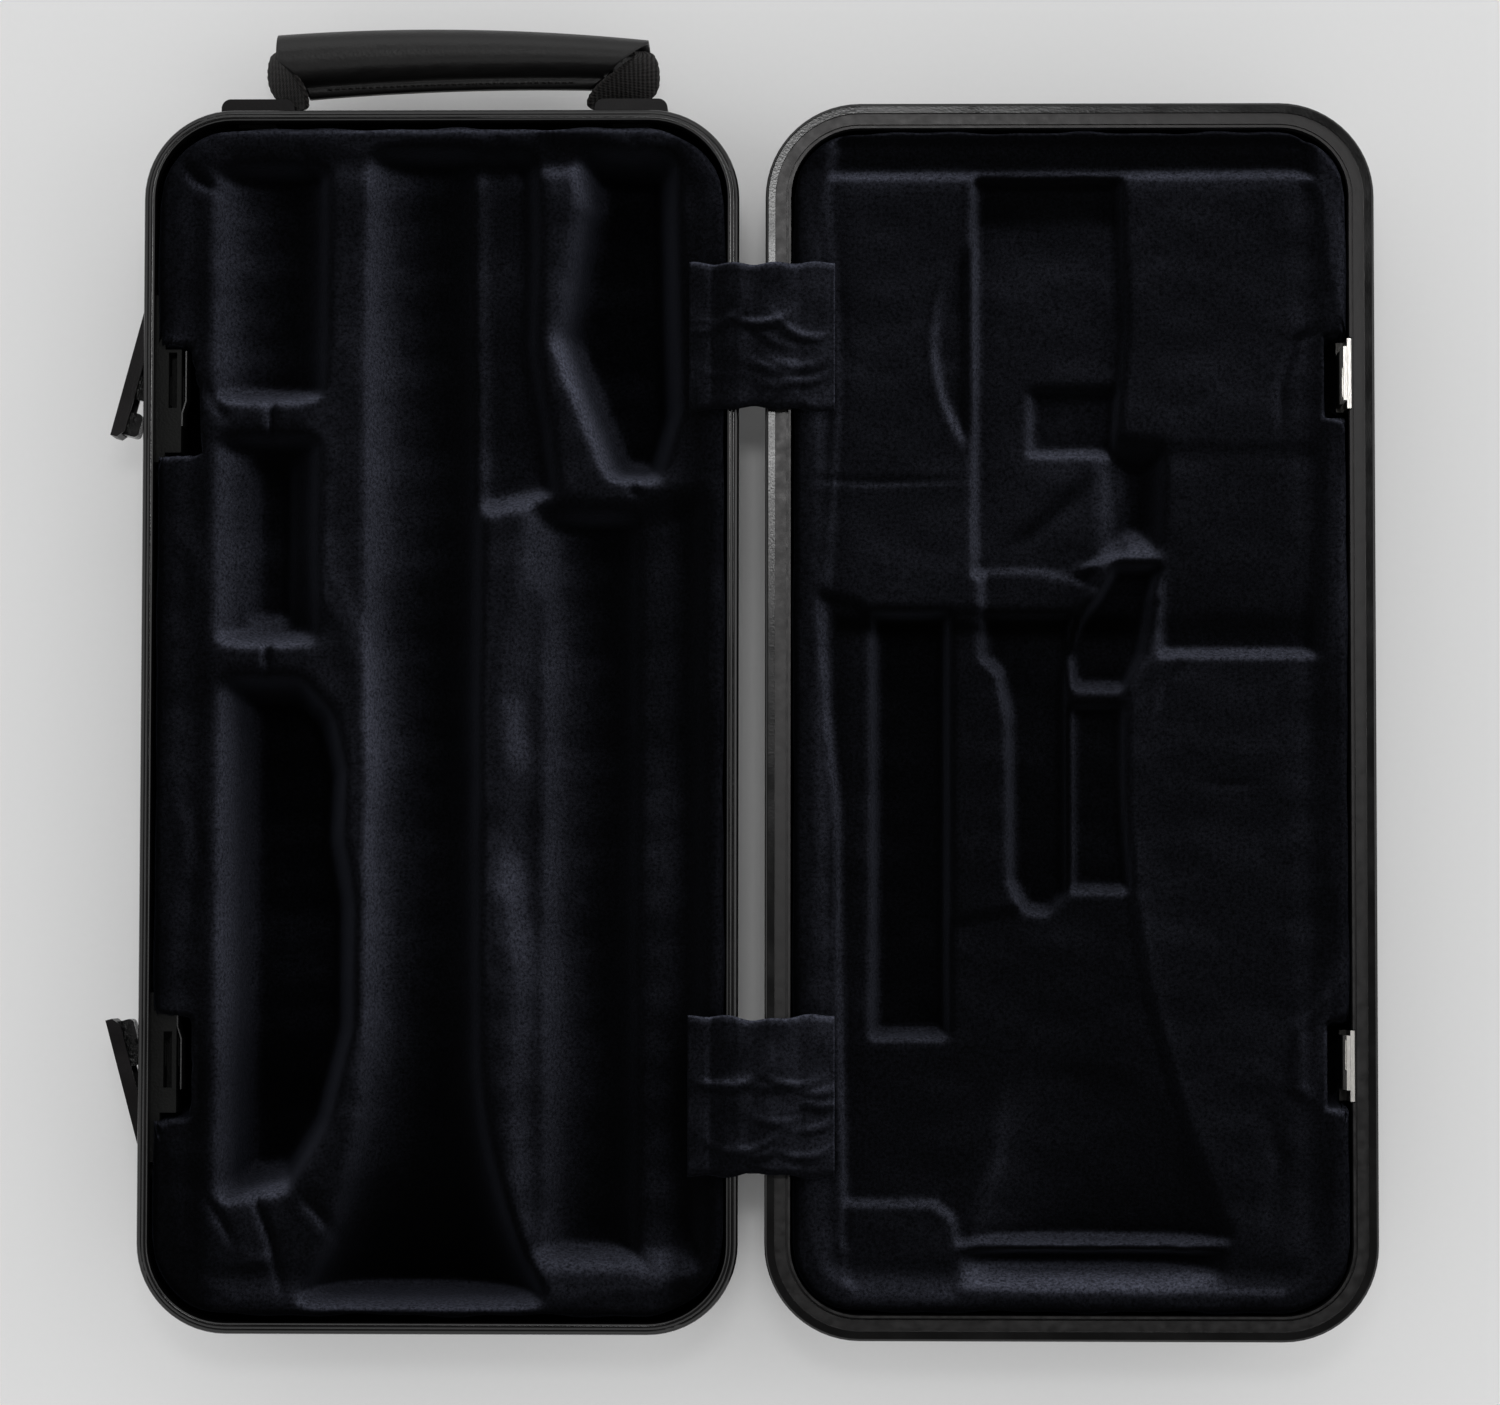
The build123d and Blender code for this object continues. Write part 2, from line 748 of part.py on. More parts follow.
def lever_block(side, u_range, w_range, z_range, mode=Mode.ADD):
    # a box along the lever: u from the pivot, w inward from the pivot
    (u_low, u_high), (w_low, w_high) = u_range, w_range
    with BuildSketch(lever_plane(side, z_range[0])) as plan:
        with Locations(((u_low + u_high) / 2, side * (w_low + w_high) / 2)):
            Rectangle(u_high - u_low, w_high - w_low)
    extrude(plan.sketch, amount=z_range[1] - z_range[0], mode=mode)


def lever_plan(side):
    outer_w = -lever_heel_radius
    inner_w = outer_w + lever_width
    return [
        (0, side * outer_w),
        (lever_length, side * outer_w),
        (lever_length, side * (outer_w + lever_width / 2)),
        (lever_length - lever_end_cut, side * inner_w),
        (0, side * inner_w),
    ]


def latch_lever(side):
    with BuildSketch(lever_plane(side, lever_low_z)) as plan:
        with BuildLine():
            Polyline(lever_plan(side), close=True)
        make_face()
        Circle(lever_heel_radius)
    extrude(plan.sketch, amount=lever_height)
    hollow_u = (lever_heel_radius + lever_solid_end, lever_length - lever_wall)
    hollow_w = (lever_wall - lever_heel_radius, lever_width)
    heights = (lever_low_z + lever_wall, lever_top_z - lever_wall)
    lever_block(side, hollow_u, hollow_w, heights, Mode.SUBTRACT)
    with BuildSketch(lever_plane(side, lever_low_z)) as bore:
        Circle(lever_pin_radius + running_clearance)
    extrude(bore.sketch, amount=lever_height, mode=Mode.SUBTRACT)


def latch_claw(side):
    web_w = lever_wall - lever_heel_radius
    heights = (claw_low_z, claw_low_z + claw_height)
    tooth_u = (lever_reaches[side] - tooth_width / 2, lever_reaches[side] + tooth_width / 2)
    plate_u = (tooth_u[0] - claw_plate_lead, claw_span[1])
    lever_block(side, plate_u, (web_w, web_w + claw_plate), heights)
    with BuildSketch(lever_plane(side, claw_low_z)) as nose:
        middle = (claw_span[0] + claw_span[1]) / 2
        with Locations((middle, side * (web_w + claw_reach) / 2)):
            RectangleRounded(claw_span[1] - claw_span[0], claw_reach - web_w, claw_round)
    extrude(nose.sketch, amount=claw_height)
    lever_block(side, tooth_u, (web_w, tooth_reach), (tooth_low_z, tooth_top_z))


def latch_housing(side):
    heights = (housing_low_z, housing_top_z)
    inner_heights = (housing_low_z + housing_wall, housing_top_z - housing_wall)
    ears = recess_span(side, housing_wall + housing_ear)
    block((-base_wall_out, recess_back_x), recess_span(side, housing_wall), heights)
    block((-base_wall_in, chamber_x), by_tooth(side, chamber_spans[side]), heights)
    block((-half_width, -base_wall_out), ears, (housing_low_z - ear_drop, skirt_z))
    recess = (-half_width - tool_overrun, recess_x)
    block(recess, recess_span(side), inner_heights, Mode.SUBTRACT)
    near, far = lever_pivots[side] - claw_span[1], lever_pivots[side] - claw_span[0]
    claw_room = across(side, (near - swing_play, far + play))
    claw_x = pivot_x + claw_reach + play
    block((-half_width, claw_x), claw_room, inner_heights, Mode.SUBTRACT)
    tooth_room = by_tooth(side, tooth_span, swing_play, play)
    tooth_heights = (tooth_low_z - play, tooth_top_z + play)
    tooth_x = (-half_width, chamber_x + tool_overrun)
    block(tooth_x, tooth_room, tooth_heights, Mode.SUBTRACT)
    slot = (-tongue_x - 2 * play, tongue_thickness - tongue_x + 2 * play)
    slot_low_z = parting_z - tongue_height - play
    slot_heights = (slot_low_z, housing_top_z + tool_overrun)
    block(slot, by_tooth(side, tongue_span, play, play), slot_heights, Mode.SUBTRACT)
    pin_start = (pivot_x, side * lever_pivots[side], housing_low_z)
    rod(pin_start, (0, 0, 1), lever_pin_radius, housing_top_z - housing_low_z, Mode.SUBTRACT)
    for y in ear_rivets(side):
        start = (-half_width, y, (housing_low_z + housing_top_z) / 2)
        rod(start, (1, 0, 0), rivet_radius, wall_setback, Mode.SUBTRACT)


def latch_spring(side):
    # a bent strip: a foot on the housing and a tail that stands off it behind the tooth
    start_y = tooth_y + tooth_span[0] - spring_foot - spring_thickness
    foot_x_mid = chamber_x + spring_thickness / 2
    tail_x = foot_x_mid + spring_stand
    middle_z = (tooth_low_z + tooth_top_z) / 2
    with BuildSketch(Plane.XY.offset(middle_z)) as plan:
        with BuildLine():
            Polyline(
                (foot_x_mid, side * (start_y - spring_foot)),
                (foot_x_mid, side * start_y),
                (tail_x, side * (start_y + spring_foot)),
                (tail_x, side * (start_y + spring_length)),
            )
        trace(line_width=spring_thickness)
    extrude(plan.sketch, amount=spring_height / 2, both=True)


for name, side in sides.items():
    with BuildPart() as lever:
        latch_lever(side)
    save(lever.part, f"latch_lever_{name}")

    with BuildPart() as claw:
        latch_claw(side)
    save(claw.part, f"latch_claw_{name}")

    with BuildPart() as housing:
        latch_housing(side)
    save(housing.part, f"latch_housing_{name}")

    with BuildPart() as spring:
        latch_spring(side)
    save(spring.part, f"latch_spring_{name}")

    with BuildPart() as lever_pin:
        pin_start = (pivot_x, side * lever_pivots[side], housing_low_z)
        rod(pin_start, (0, 0, 1), lever_pin_radius, housing_top_z - housing_low_z)
    save(lever_pin.part, f"latch_pin_{name}")

with BuildPart() as latch_rivets:
    for side in sides.values():
        for y in ear_rivets(side):
            rivet_z = (housing_low_z + housing_top_z) / 2
            rod((-half_width, y, rivet_z), (1, 0, 0), rivet_radius, half_width - base_wall_in)
            rod((-base_wall_in, y, rivet_z), (1, 0, 0), rivet_head_radius, rivet_head_height)
save(latch_rivets.part, "latch_rivets")


# Strikes


def strike(side):
    span = by_tooth(side, clip_span)
    wall_x = lid_x + lid_wall_in
    plate_x = wall_x - leaf_thickness
    foot_top_z = strike_foot_z + leaf_thickness
    block((plate_x, wall_x), span, (strike_foot_z - strike_plate_height, foot_top_z))
    tongue = (lid_x + tongue_x - tongue_thickness, lid_x + tongue_x)
    block((tongue[0], wall_x), span, (strike_foot_z, foot_top_z))
    block(tongue, by_tooth(side, tongue_span), (strike_foot_z, parting_z + tongue_height))
    clip = (lid_x + clip_x - clip_thickness, lid_x + clip_x)
    block(clip, span, (strike_foot_z, parting_z + clip_height))
    window = by_tooth(side, tooth_span, swing_play - play, play)
    low = 2 * parting_z - tooth_top_z - play
    high = 2 * parting_z - tooth_low_z + play
    block(tongue, window, (low, high), Mode.SUBTRACT)
    for y in strike_rivets(side):
        rod((plate_x, y, strike_rivet_z), (1, 0, 0), rivet_radius, leaf_thickness, Mode.SUBTRACT)


for name, side in sides.items():
    with BuildPart() as strike_plate:
        strike(side)
    save(strike_plate.part, f"strike_{name}")

with BuildPart() as strike_rivet_set:
    for side in sides.values():
        for y in strike_rivets(side):
            inner = (lid_x + lid_wall_in - leaf_thickness, y, strike_rivet_z)
            rivet(inner, (lid_x + lid_wall_out, y, strike_rivet_z))
save(strike_rivet_set.part, "strike_rivets")


# Handle


def foot_span(side):
    return (side * foot_x - foot_width / 2, side * foot_x + foot_width / 2)


def foot_inner_x(side):
    return side * (foot_x - foot_width / 2)


def handle_foot(side):
    heights = (handle_z - foot_height / 2, handle_z + foot_height / 2)
    block(foot_span(side), (end_wall_y, foot_out_y), heights)
    corners = edges().filter_by(Axis.Z).sort_by(Axis.Y)[-2:]
    fillet(corners, foot_round)
    mouth_x = foot_inner_x(side)
    slot_x = (mouth_x - side * tool_overrun, mouth_x + side * foot_slot_depth)
    reach = strap_thickness / 2 + foot_slot_play
    rise = strap_width / 2 + foot_slot_play
    block(slot_x, (strap_y - reach, strap_y + reach), (handle_z - rise, handle_z + rise), Mode.SUBTRACT)
    for z in screw_heights:
        rod((side * foot_x, end_wall_y, z), (0, 1, 0), screw_radius, screw_bite, Mode.SUBTRACT)


def backing_plate(side):
    low = side * foot_x - backing_width / 2
    high = side * foot_x + backing_width / 2
    heights = (handle_z - foot_height / 2, handle_z + foot_height / 2)
    inner_y = end_wall_y - shell_wall
    block((low, high), (inner_y - backing_thickness, inner_y), heights)
    for z in screw_heights:
        start = (side * foot_x, inner_y, z)
        rod(start, (0, -1, 0), screw_radius, backing_thickness, Mode.SUBTRACT)


for name, side in {"left": -1, "right": 1}.items():
    with BuildPart() as foot:
        handle_foot(side)
    save(foot.part, f"handle_foot_{name}")

with BuildPart() as handle_backing_plates:
    backing_plate(1)
    backing_plate(-1)
save(handle_backing_plates.part, "handle_backing_plates")

with BuildPart() as handle_screws:
    for side in (-1, 1):
        for z in screw_heights:
            seat_y = end_wall_y - shell_wall - backing_thickness
            length = shell_wall + backing_thickness + screw_bite
            rod((side * foot_x, seat_y, z), (0, 1, 0), screw_radius, length)
            rod((side * foot_x, seat_y, z), (0, -1, 0), screw_head_radius, screw_head_height)
save(handle_screws.part, "handle_screws")

core_y = grip_y + grip_arch / 2 - core_drop
core_ends = (grip_ends[0] + core_inset, grip_ends[1] - core_inset)
curl_x = {-1: grip_ends[0] - strap_bulge[-1], 1: grip_ends[1] + strap_bulge[1]}


def strap_path(side):
    # out of the foot's inner end, back past it, and round into the grip's end
    turn_x = foot_inner_x(side) - side * strap_thickness
    end_x = core_ends[1] if side > 0 else core_ends[0]
    return [
        (foot_inner_x(side) + side * (foot_slot_depth - strap_end_gap), strap_y),
        (turn_x, strap_y),
        (turn_x, foot_out_y + strap_stand),
        (curl_x[side], core_y - strap_rise),
        (curl_x[side], core_y),
        (end_x, core_y),
    ]


for name, side in {"left": -1, "right": 1}.items():
    with BuildPart() as strap:
        with BuildSketch(Plane.XY.offset(handle_z)) as band:
            with BuildLine():
                radii = [strap_bend, strap_bend, strap_curl, strap_curl]
                FilletPolyline(*strap_path(side), radius=radii)
            trace(line_width=strap_thickness)
        extrude(band.sketch, amount=strap_width / 2, both=True)
    save(strap.part, f"handle_strap_{name}")

with BuildPart() as handle_core:
    heights = (handle_z - strap_width / 2, handle_z + strap_width / 2)
    block(core_ends, (core_y - core_thickness / 2, core_y + core_thickness / 2), heights)
save(handle_core.part, "handle_core")


def below_strap(side):
    # the wedge that is cut off the grip's end where the strap curls round it
    _, _, low, high, _, _ = strap_path(side)
    clear = strap_thickness / 2 + strap_room
    inner_x = low[0] - side * wedge_run
    outer_x = high[0] + side * wedge_run
    with BuildSketch(Plane.XY.offset(handle_z)) as wedge:
        with BuildLine():
            Polyline(
                (inner_x, low[1] + clear),
                (outer_x, high[1] + clear + tool_overrun),
                (outer_x, end_wall_y),
                (inner_x, end_wall_y),
                close=True,
            )
        make_face()
    extrude(wedge.sketch, amount=grip_height, both=True, mode=Mode.SUBTRACT)


with BuildPart() as handle_grip:
    with BuildLine() as arch:
        middle_x = (grip_ends[0] + grip_ends[1]) / 2
        start = (grip_ends[0], grip_y, handle_z)
        end = (grip_ends[1], grip_y, handle_z)
        ThreePointArc(start, (middle_x, grip_y + grip_arch, handle_z), end)
    with BuildSketch(Plane(origin=arch.line @ 0, x_dir=(0, 0, 1), z_dir=arch.line % 0)) as section:
        Ellipse(grip_height / 2, grip_width / 2)
        reach = grip_width / 2 + seam_length
        with Locations((0, reach / 2)):
            Rectangle(seam_thickness, reach)
    sweep(section.sketch, path=arch.line)
    for side in (-1, 1):
        below_strap(side)
    channel = core_thickness / 2 + core_play
    rise = strap_width / 2 + core_play
    block(
        (grip_ends[0] - tool_overrun, grip_ends[1] + tool_overrun),
        (core_y - channel, core_y + channel),
        (handle_z - rise, handle_z + rise),
        Mode.SUBTRACT,
    )
save(handle_grip.part, "handle_grip")
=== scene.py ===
import json
from math import cos, pi, radians, sin

import bpy
import numpy as np
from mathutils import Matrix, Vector


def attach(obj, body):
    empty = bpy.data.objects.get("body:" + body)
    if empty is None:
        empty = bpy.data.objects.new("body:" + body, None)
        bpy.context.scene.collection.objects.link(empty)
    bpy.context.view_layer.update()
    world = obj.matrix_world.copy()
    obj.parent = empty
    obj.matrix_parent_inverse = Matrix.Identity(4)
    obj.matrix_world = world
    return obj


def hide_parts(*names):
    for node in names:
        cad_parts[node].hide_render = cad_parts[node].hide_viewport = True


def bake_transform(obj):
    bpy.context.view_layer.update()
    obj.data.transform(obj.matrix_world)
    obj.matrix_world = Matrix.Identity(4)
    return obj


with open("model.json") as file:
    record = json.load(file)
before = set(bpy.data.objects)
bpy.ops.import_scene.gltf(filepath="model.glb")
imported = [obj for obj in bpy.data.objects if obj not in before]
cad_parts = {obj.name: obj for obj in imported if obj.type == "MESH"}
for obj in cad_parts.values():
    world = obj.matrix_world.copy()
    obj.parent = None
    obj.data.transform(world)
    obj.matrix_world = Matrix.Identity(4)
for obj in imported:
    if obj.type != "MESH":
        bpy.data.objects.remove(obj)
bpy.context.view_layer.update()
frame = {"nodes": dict(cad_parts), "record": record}        # nodes and the imported record
cadNodes = frame["nodes"]
mm = 0.001
lidX = 200.0             # middle of the open lid, in the case's frame
print("case: frame loaded")


# Meshes. Points are in millimetres in the case's frame.

def meshPiece(name, points, faces, material, smooth=True):
    mesh = bpy.data.meshes.new(name)
    mesh.from_pydata((np.asarray(points, float) * mm).tolist(), [], faces)
    mesh.materials.append(material)
    mesh.validate()
    mesh.polygons.foreach_set("use_smooth", [smooth] * len(mesh.polygons))
    mesh.update()
    piece = bpy.data.objects.new(name, mesh)
    bpy.context.scene.collection.objects.link(piece)
    return piece


def gridFaces(rows, columns):
    # faces of a net of points, seen from above with rows towards +Y and columns towards +X
    faces = []
    for i in range(rows - 1):
        a, b = i * columns, (i + 1) * columns
        for j in range(columns - 1):
            faces.append((a + j, a + j + 1, b + j + 1, b + j))
    return faces


def ringFaces(first, second, count):
    # faces between two rings of points that start at these indices
    faces = []
    for k in range(count):
        after = (k + 1) % count
        faces.append((first + k, first + after, second + after, second + k))
    return faces


def borderOf(rows, columns):
    # the points around the edge of a net, in order
    loop = [(0, j) for j in range(columns)] + [(i, columns - 1) for i in range(1, rows)]
    loop += [(rows - 1, j) for j in range(columns - 2, -1, -1)] + [(i, 0) for i in range(rows - 2, 0, -1)]
    return [i * columns + j for i, j in loop]


def smoothStep(t):
    t = np.clip(t, 0.0, 1.0)
    return t * t * (3 - 2 * t)


# Materials

def freshMaterial(name):
    material = bpy.data.materials.new(name)
    material.use_nodes = True
    tree = material.node_tree
    place = tree.nodes.new("ShaderNodeTexCoord").outputs["Object"]
    return material, tree, tree.nodes["Principled BSDF"], place


def stretched(tree, vector, scale):
    mapping = tree.nodes.new("ShaderNodeMapping")
    mapping.inputs["Scale"].default_value = scale
    tree.links.new(vector, mapping.inputs["Vector"])
    return mapping.outputs["Vector"]


def addNoise(tree, vector, scale, detail=3.0, roughness=0.55):
    node = tree.nodes.new("ShaderNodeTexNoise")
    node.inputs["Scale"].default_value = scale
    node.inputs["Detail"].default_value = detail
    node.inputs["Roughness"].default_value = roughness
    tree.links.new(vector, node.inputs["Vector"])
    return node.outputs["Fac"]


def addCells(tree, vector, scale):
    node = tree.nodes.new("ShaderNodeTexVoronoi")
    node.inputs["Scale"].default_value = scale
    tree.links.new(vector, node.inputs["Vector"])
    return node.outputs["Distance"]


def addWave(tree, vector, scale, direction, distortion):
    node = tree.nodes.new("ShaderNodeTexWave")
    node.bands_direction = direction
    node.inputs["Scale"].default_value = scale
    node.inputs["Distortion"].default_value = distortion
    tree.links.new(vector, node.inputs["Vector"])
    return node.outputs["Fac"]


def addRamp(tree, value, stops):
    # stops: (position, colour or grey)
    node = tree.nodes.new("ShaderNodeValToRGB")
    ramp = node.color_ramp
    while len(ramp.elements) < len(stops):
        ramp.elements.new(0.5)
    for element, (position, colour) in zip(ramp.elements, stops):
        element.position = position
        grey = not hasattr(colour, "__len__")
        element.color = (colour, colour, colour, 1) if grey else (*colour, 1)
    tree.links.new(value, node.inputs["Fac"])
    return node.outputs["Color"]


def addMath(tree, operation, *values):
    node = tree.nodes.new("ShaderNodeMath")
    node.operation = operation
    for socket, value in zip(node.inputs, values):
        if hasattr(value, "links"):
            tree.links.new(value, socket)
        else:
            socket.default_value = value
    return node.outputs["Value"]


def addSum(tree, first, firstShare, second, secondShare):
    part = addMath(tree, "MULTIPLY", first, firstShare)
    return addMath(tree, "MULTIPLY_ADD", second, secondShare, part)


def addRange(tree, value, start, end, low, high):
    node = tree.nodes.new("ShaderNodeMapRange")
    for name, number in (("From Min", start), ("From Max", end), ("To Min", low), ("To Max", high)):
        node.inputs[name].default_value = number
    tree.links.new(value, node.inputs["Value"])
    return node.outputs["Result"]


def heightOf(tree, place):
    split = tree.nodes.new("ShaderNodeSeparateXYZ")
    tree.links.new(place, split.inputs["Vector"])
    return split.outputs["Z"]


def addBump(tree, shader, height, distance):
    node = tree.nodes.new("ShaderNodeBump")
    node.inputs["Distance"].default_value = distance * mm
    tree.links.new(height, node.inputs["Height"])
    tree.links.new(node.outputs["Normal"], shader.inputs["Normal"])


velvetLook = {
    "towardPaintedLight": (0.42, 0.80, 0.0),         # direction of the painted light: walls that face it are painted pale, walls turned away painted dark
    # painted light and shade: tone for each facing, from turned away to facing the painted light
    "tones": [(0.20, 0.0008), (0.43, 0.0021), (0.5, 0.0039), (0.60, 0.0100), (0.80, 0.046)],
    "pocketShadeShare": 0.42,                  # painted shade: share of the tone left at the bottom of the pockets
    "pocketShadeHeights": (0.030, 0.0495),
    "tint": (0.84, 0.89, 1.20),
    "grain": (0.35, 1.80),
    "patches": (0.88, 1.12),
    "sheen": 0.03,
    "sheenTint": (0.6, 0.66, 0.9, 1),
}


def makeVelvet(name, patchScale):
    # velvet with painted light and shade: painted pale on walls that face the painted light and dark on
    # walls turned away
    material, tree, shader, place = freshMaterial(name)
    towardPaintedLight = tree.nodes.new("ShaderNodeVectorMath")
    towardPaintedLight.operation = "DOT_PRODUCT"
    towardPaintedLight.inputs[1].default_value = velvetLook["towardPaintedLight"]
    tree.links.new(place.node.outputs["Normal"], towardPaintedLight.inputs[0])
    facing = addMath(tree, "MULTIPLY_ADD", towardPaintedLight.outputs["Value"], 0.5, 0.5)
    # painted light and shade: the tone follows how far each face turns towards the painted light
    tone = addRamp(tree, facing, velvetLook["tones"])
    # painted shade: darker towards the bottom of the pockets
    depth = addRange(tree, heightOf(tree, place), *velvetLook["pocketShadeHeights"], velvetLook["pocketShadeShare"], 1.0)
    patches = addRange(tree, addNoise(tree, place, patchScale, 4, 0.6), 0.3, 0.7, *velvetLook["patches"])
    fibres = addNoise(tree, place, 1000, 3, 0.75)
    grain = addRange(tree, fibres, 0.34, 0.66, *velvetLook["grain"])
    # painted light and shade, read from the velvet's points
    paintedShadingAttribute = tree.nodes.new("ShaderNodeAttribute")
    paintedShadingAttribute.attribute_name = "paintedShading"
    paintedShadingFactor = addMath(tree, "ADD", paintedShadingAttribute.outputs["Fac"], 1.0)
    for factor in (depth, grain, patches, paintedShadingFactor):
        tone = addMath(tree, "MULTIPLY", tone, factor)
    tint = tree.nodes.new("ShaderNodeVectorMath")
    tint.operation = "SCALE"
    tint.inputs[0].default_value = velvetLook["tint"]
    tree.links.new(tone, tint.inputs["Scale"])
    tree.links.new(tint.outputs["Vector"], shader.inputs["Base Color"])
    shader.inputs["Roughness"].default_value = 0.95
    shader.inputs["Specular IOR Level"].default_value = 0.02
    shader.inputs["Sheen Weight"].default_value = velvetLook["sheen"]
    shader.inputs["Sheen Roughness"].default_value = 0.4
    shader.inputs["Sheen Tint"].default_value = velvetLook["sheenTint"]
    crush = addNoise(tree, place, 170, 4, 0.65)
    addBump(tree, shader, addSum(tree, crush, 0.3, fibres, 0.5), 0.6)
    return material


def makePlastic(name, roughness, grain, grainDepth, colour, worn, shine=0.5):
    # moulded plastic: a fine grain, and patches that are rubbed paler and duller
    material, tree, shader, place = freshMaterial(name)
    wear = addNoise(tree, place, 60, 5, 0.65)
    tree.links.new(addRamp(tree, wear, [(0.42, colour), (0.78, worn)]), shader.inputs["Base Color"])
    tree.links.new(addRange(tree, wear, 0.3, 0.75, roughness - 0.05, roughness + 0.09),
        shader.inputs["Roughness"])
    shader.inputs["Specular IOR Level"].default_value = shine
    addBump(tree, shader, addCells(tree, place, grain), grainDepth)
    return material


def makeBrushed(name, tone, roughness, stretch):
    material, tree, shader, place = freshMaterial(name)
    lines = addNoise(tree, stretched(tree, place, stretch), 260, 4, 0.6)
    colour = addRamp(tree, lines, [(0.3, [c * 0.8 for c in tone]), (0.7, tone)])
    tree.links.new(colour, shader.inputs["Base Color"])
    tree.links.new(addRange(tree, lines, 0.3, 0.7, roughness - 0.06, roughness + 0.08),
        shader.inputs["Roughness"])
    shader.inputs["Metallic"].default_value = 1.0
    addBump(tree, shader, lines, 0.04)
    return material


def makeStrike():
    # nickel that stays bright on the rubbed upper edges and is painted dark below them as shade
    material, tree, shader, place = freshMaterial("nickelStrike")
    streaks = addNoise(tree, stretched(tree, place, (6, 1, 1)), 300, 4, 0.6)
    # painted shade: the plate below the rim is darkened where it sits in shadow
    upper = addRange(tree, heightOf(tree, place), 0.0515, 0.0532, 0.035, 0.9)
    tone = addMath(tree, "MULTIPLY", upper, addRange(tree, streaks, 0.3, 0.7, 0.75, 1.0))
    colour = addRamp(tree, tone, [(0.0, 0.0), (1.0, (1.0, 0.97, 0.92))])
    tree.links.new(colour, shader.inputs["Base Color"])
    shader.inputs["Metallic"].default_value = 1.0
    shader.inputs["Roughness"].default_value = 0.32
    addBump(tree, shader, streaks, 0.05)
    return material


def makeClaw():
    # glossy moulding whose bruised faces catch small glints
    material, tree, shader, place = freshMaterial("glossyClaw")
    knocks = addNoise(tree, place, 420, 3, 0.6)
    tree.links.new(addRamp(tree, knocks, [(0.4, 0.0015), (0.85, 0.009)]), shader.inputs["Base Color"])
    shader.inputs["Roughness"].default_value = 0.12
    shader.inputs["Specular IOR Level"].default_value = 0.15
    shader.inputs["Coat Weight"].default_value = 0.12
    shader.inputs["Coat Roughness"].default_value = 0.06
    addBump(tree, shader, knocks, 1.1)
    return material


def makeWebbing():
    # a ribbed band: ribs across it and a fine twill over them
    material, tree, shader, place = freshMaterial("ribbedWebbing")
    ribs = addWave(tree, place, 230, "X", 0.8)
    twill = addWave(tree, place, 420, "DIAGONAL", 0.6)
    height = addSum(tree, ribs, 0.5, twill, 0.5)
    colour = addRamp(tree, height, [(0.2, (0.0022, 0.0018, 0.0017)), (0.85, (0.0125, 0.0105, 0.0098))])
    tree.links.new(colour, shader.inputs["Base Color"])
    shader.inputs["Roughness"].default_value = 0.85
    shader.inputs["Specular IOR Level"].default_value = 0.2
    shader.inputs["Sheen Weight"].default_value = 0.04
    addBump(tree, shader, height, 0.7)
    return material


def makeGripLeather():
    material, tree, shader, place = freshMaterial("gripLeather")
    folds = addNoise(tree, stretched(tree, place, (0.5, 1.4, 1.4)), 240, 4, 0.6)
    colour = addRamp(tree, folds, [(0.35, (0.0048, 0.0046, 0.0046)), (0.75, (0.0080, 0.0077, 0.0077))])
    tree.links.new(colour, shader.inputs["Base Color"])
    tree.links.new(addRange(tree, folds, 0.3, 0.75, 0.38, 0.5), shader.inputs["Roughness"])
    shader.inputs["Specular IOR Level"].default_value = 0.3
    addBump(tree, shader, addSum(tree, addCells(tree, place, 900), 0.6, folds, 0.4), 0.09)
    return material


finish = {
    "baseVelvet": makeVelvet("navyVelvetBase", 22),
    "lidVelvet": makeVelvet("navyVelvetLid", 17),
    "coverVelvet": makeVelvet("navyVelvetCovers", 46),
    "shell": makePlastic("pebbledShell", 0.42, 620, 0.14, (0.0018, 0.0018, 0.0019),
        (0.0034, 0.0034, 0.0036), 0.16),
    "rim": makePlastic("glossyRim", 0.16, 1500, 0.01, (0.0014, 0.0013, 0.0013),
        (0.0024, 0.0022, 0.0022), 0.36),
    "foot": makePlastic("mouldedFoot", 0.42, 1300, 0.03, (0.0030, 0.0024, 0.0027),
        (0.0050, 0.0040, 0.0044), 0.16),
    "lever": makePlastic("satinLever", 0.32, 1600, 0.02, (0.0026, 0.0020, 0.0022),
        (0.0056, 0.0044, 0.0048), 0.2),
    "claw": makeClaw(),
    "housing": makePlastic("greyHousing", 0.5, 1200, 0.05, (0.0016, 0.0017, 0.0015),
        (0.0036, 0.0038, 0.0034), 0.14),
    "seat": makeBrushed("satinSeat", (0.046, 0.045, 0.045), 0.36, (1, 1, 6)),
    "steel": makeBrushed("springSteel", (0.10, 0.10, 0.10), 0.34, (1, 6, 1)),
    # painted shade: a near-black copy of steel for hardware that sits in shade
    "dark": makePlastic("darkShadedSteel", 0.6, 1500, 0.02, (0.0012, 0.0012, 0.0012),
        (0.0030, 0.0030, 0.0030), 0.12),
    "strike": makeStrike(),
    "foam": makePlastic("darkFoam", 0.85, 700, 0.3, (0.0016, 0.0016, 0.0021), (0.0026, 0.0027, 0.0034)),
    "core": makePlastic("stiffCore", 0.6, 900, 0.05, (0.0060, 0.0058, 0.0056), (0.0120, 0.0116, 0.0112)),
    "grip": makeGripLeather(),
    "webbing": makeWebbing(),
}
finish["velvet"] = finish["baseVelvet"]
finish["rivet"] = finish["dark"]
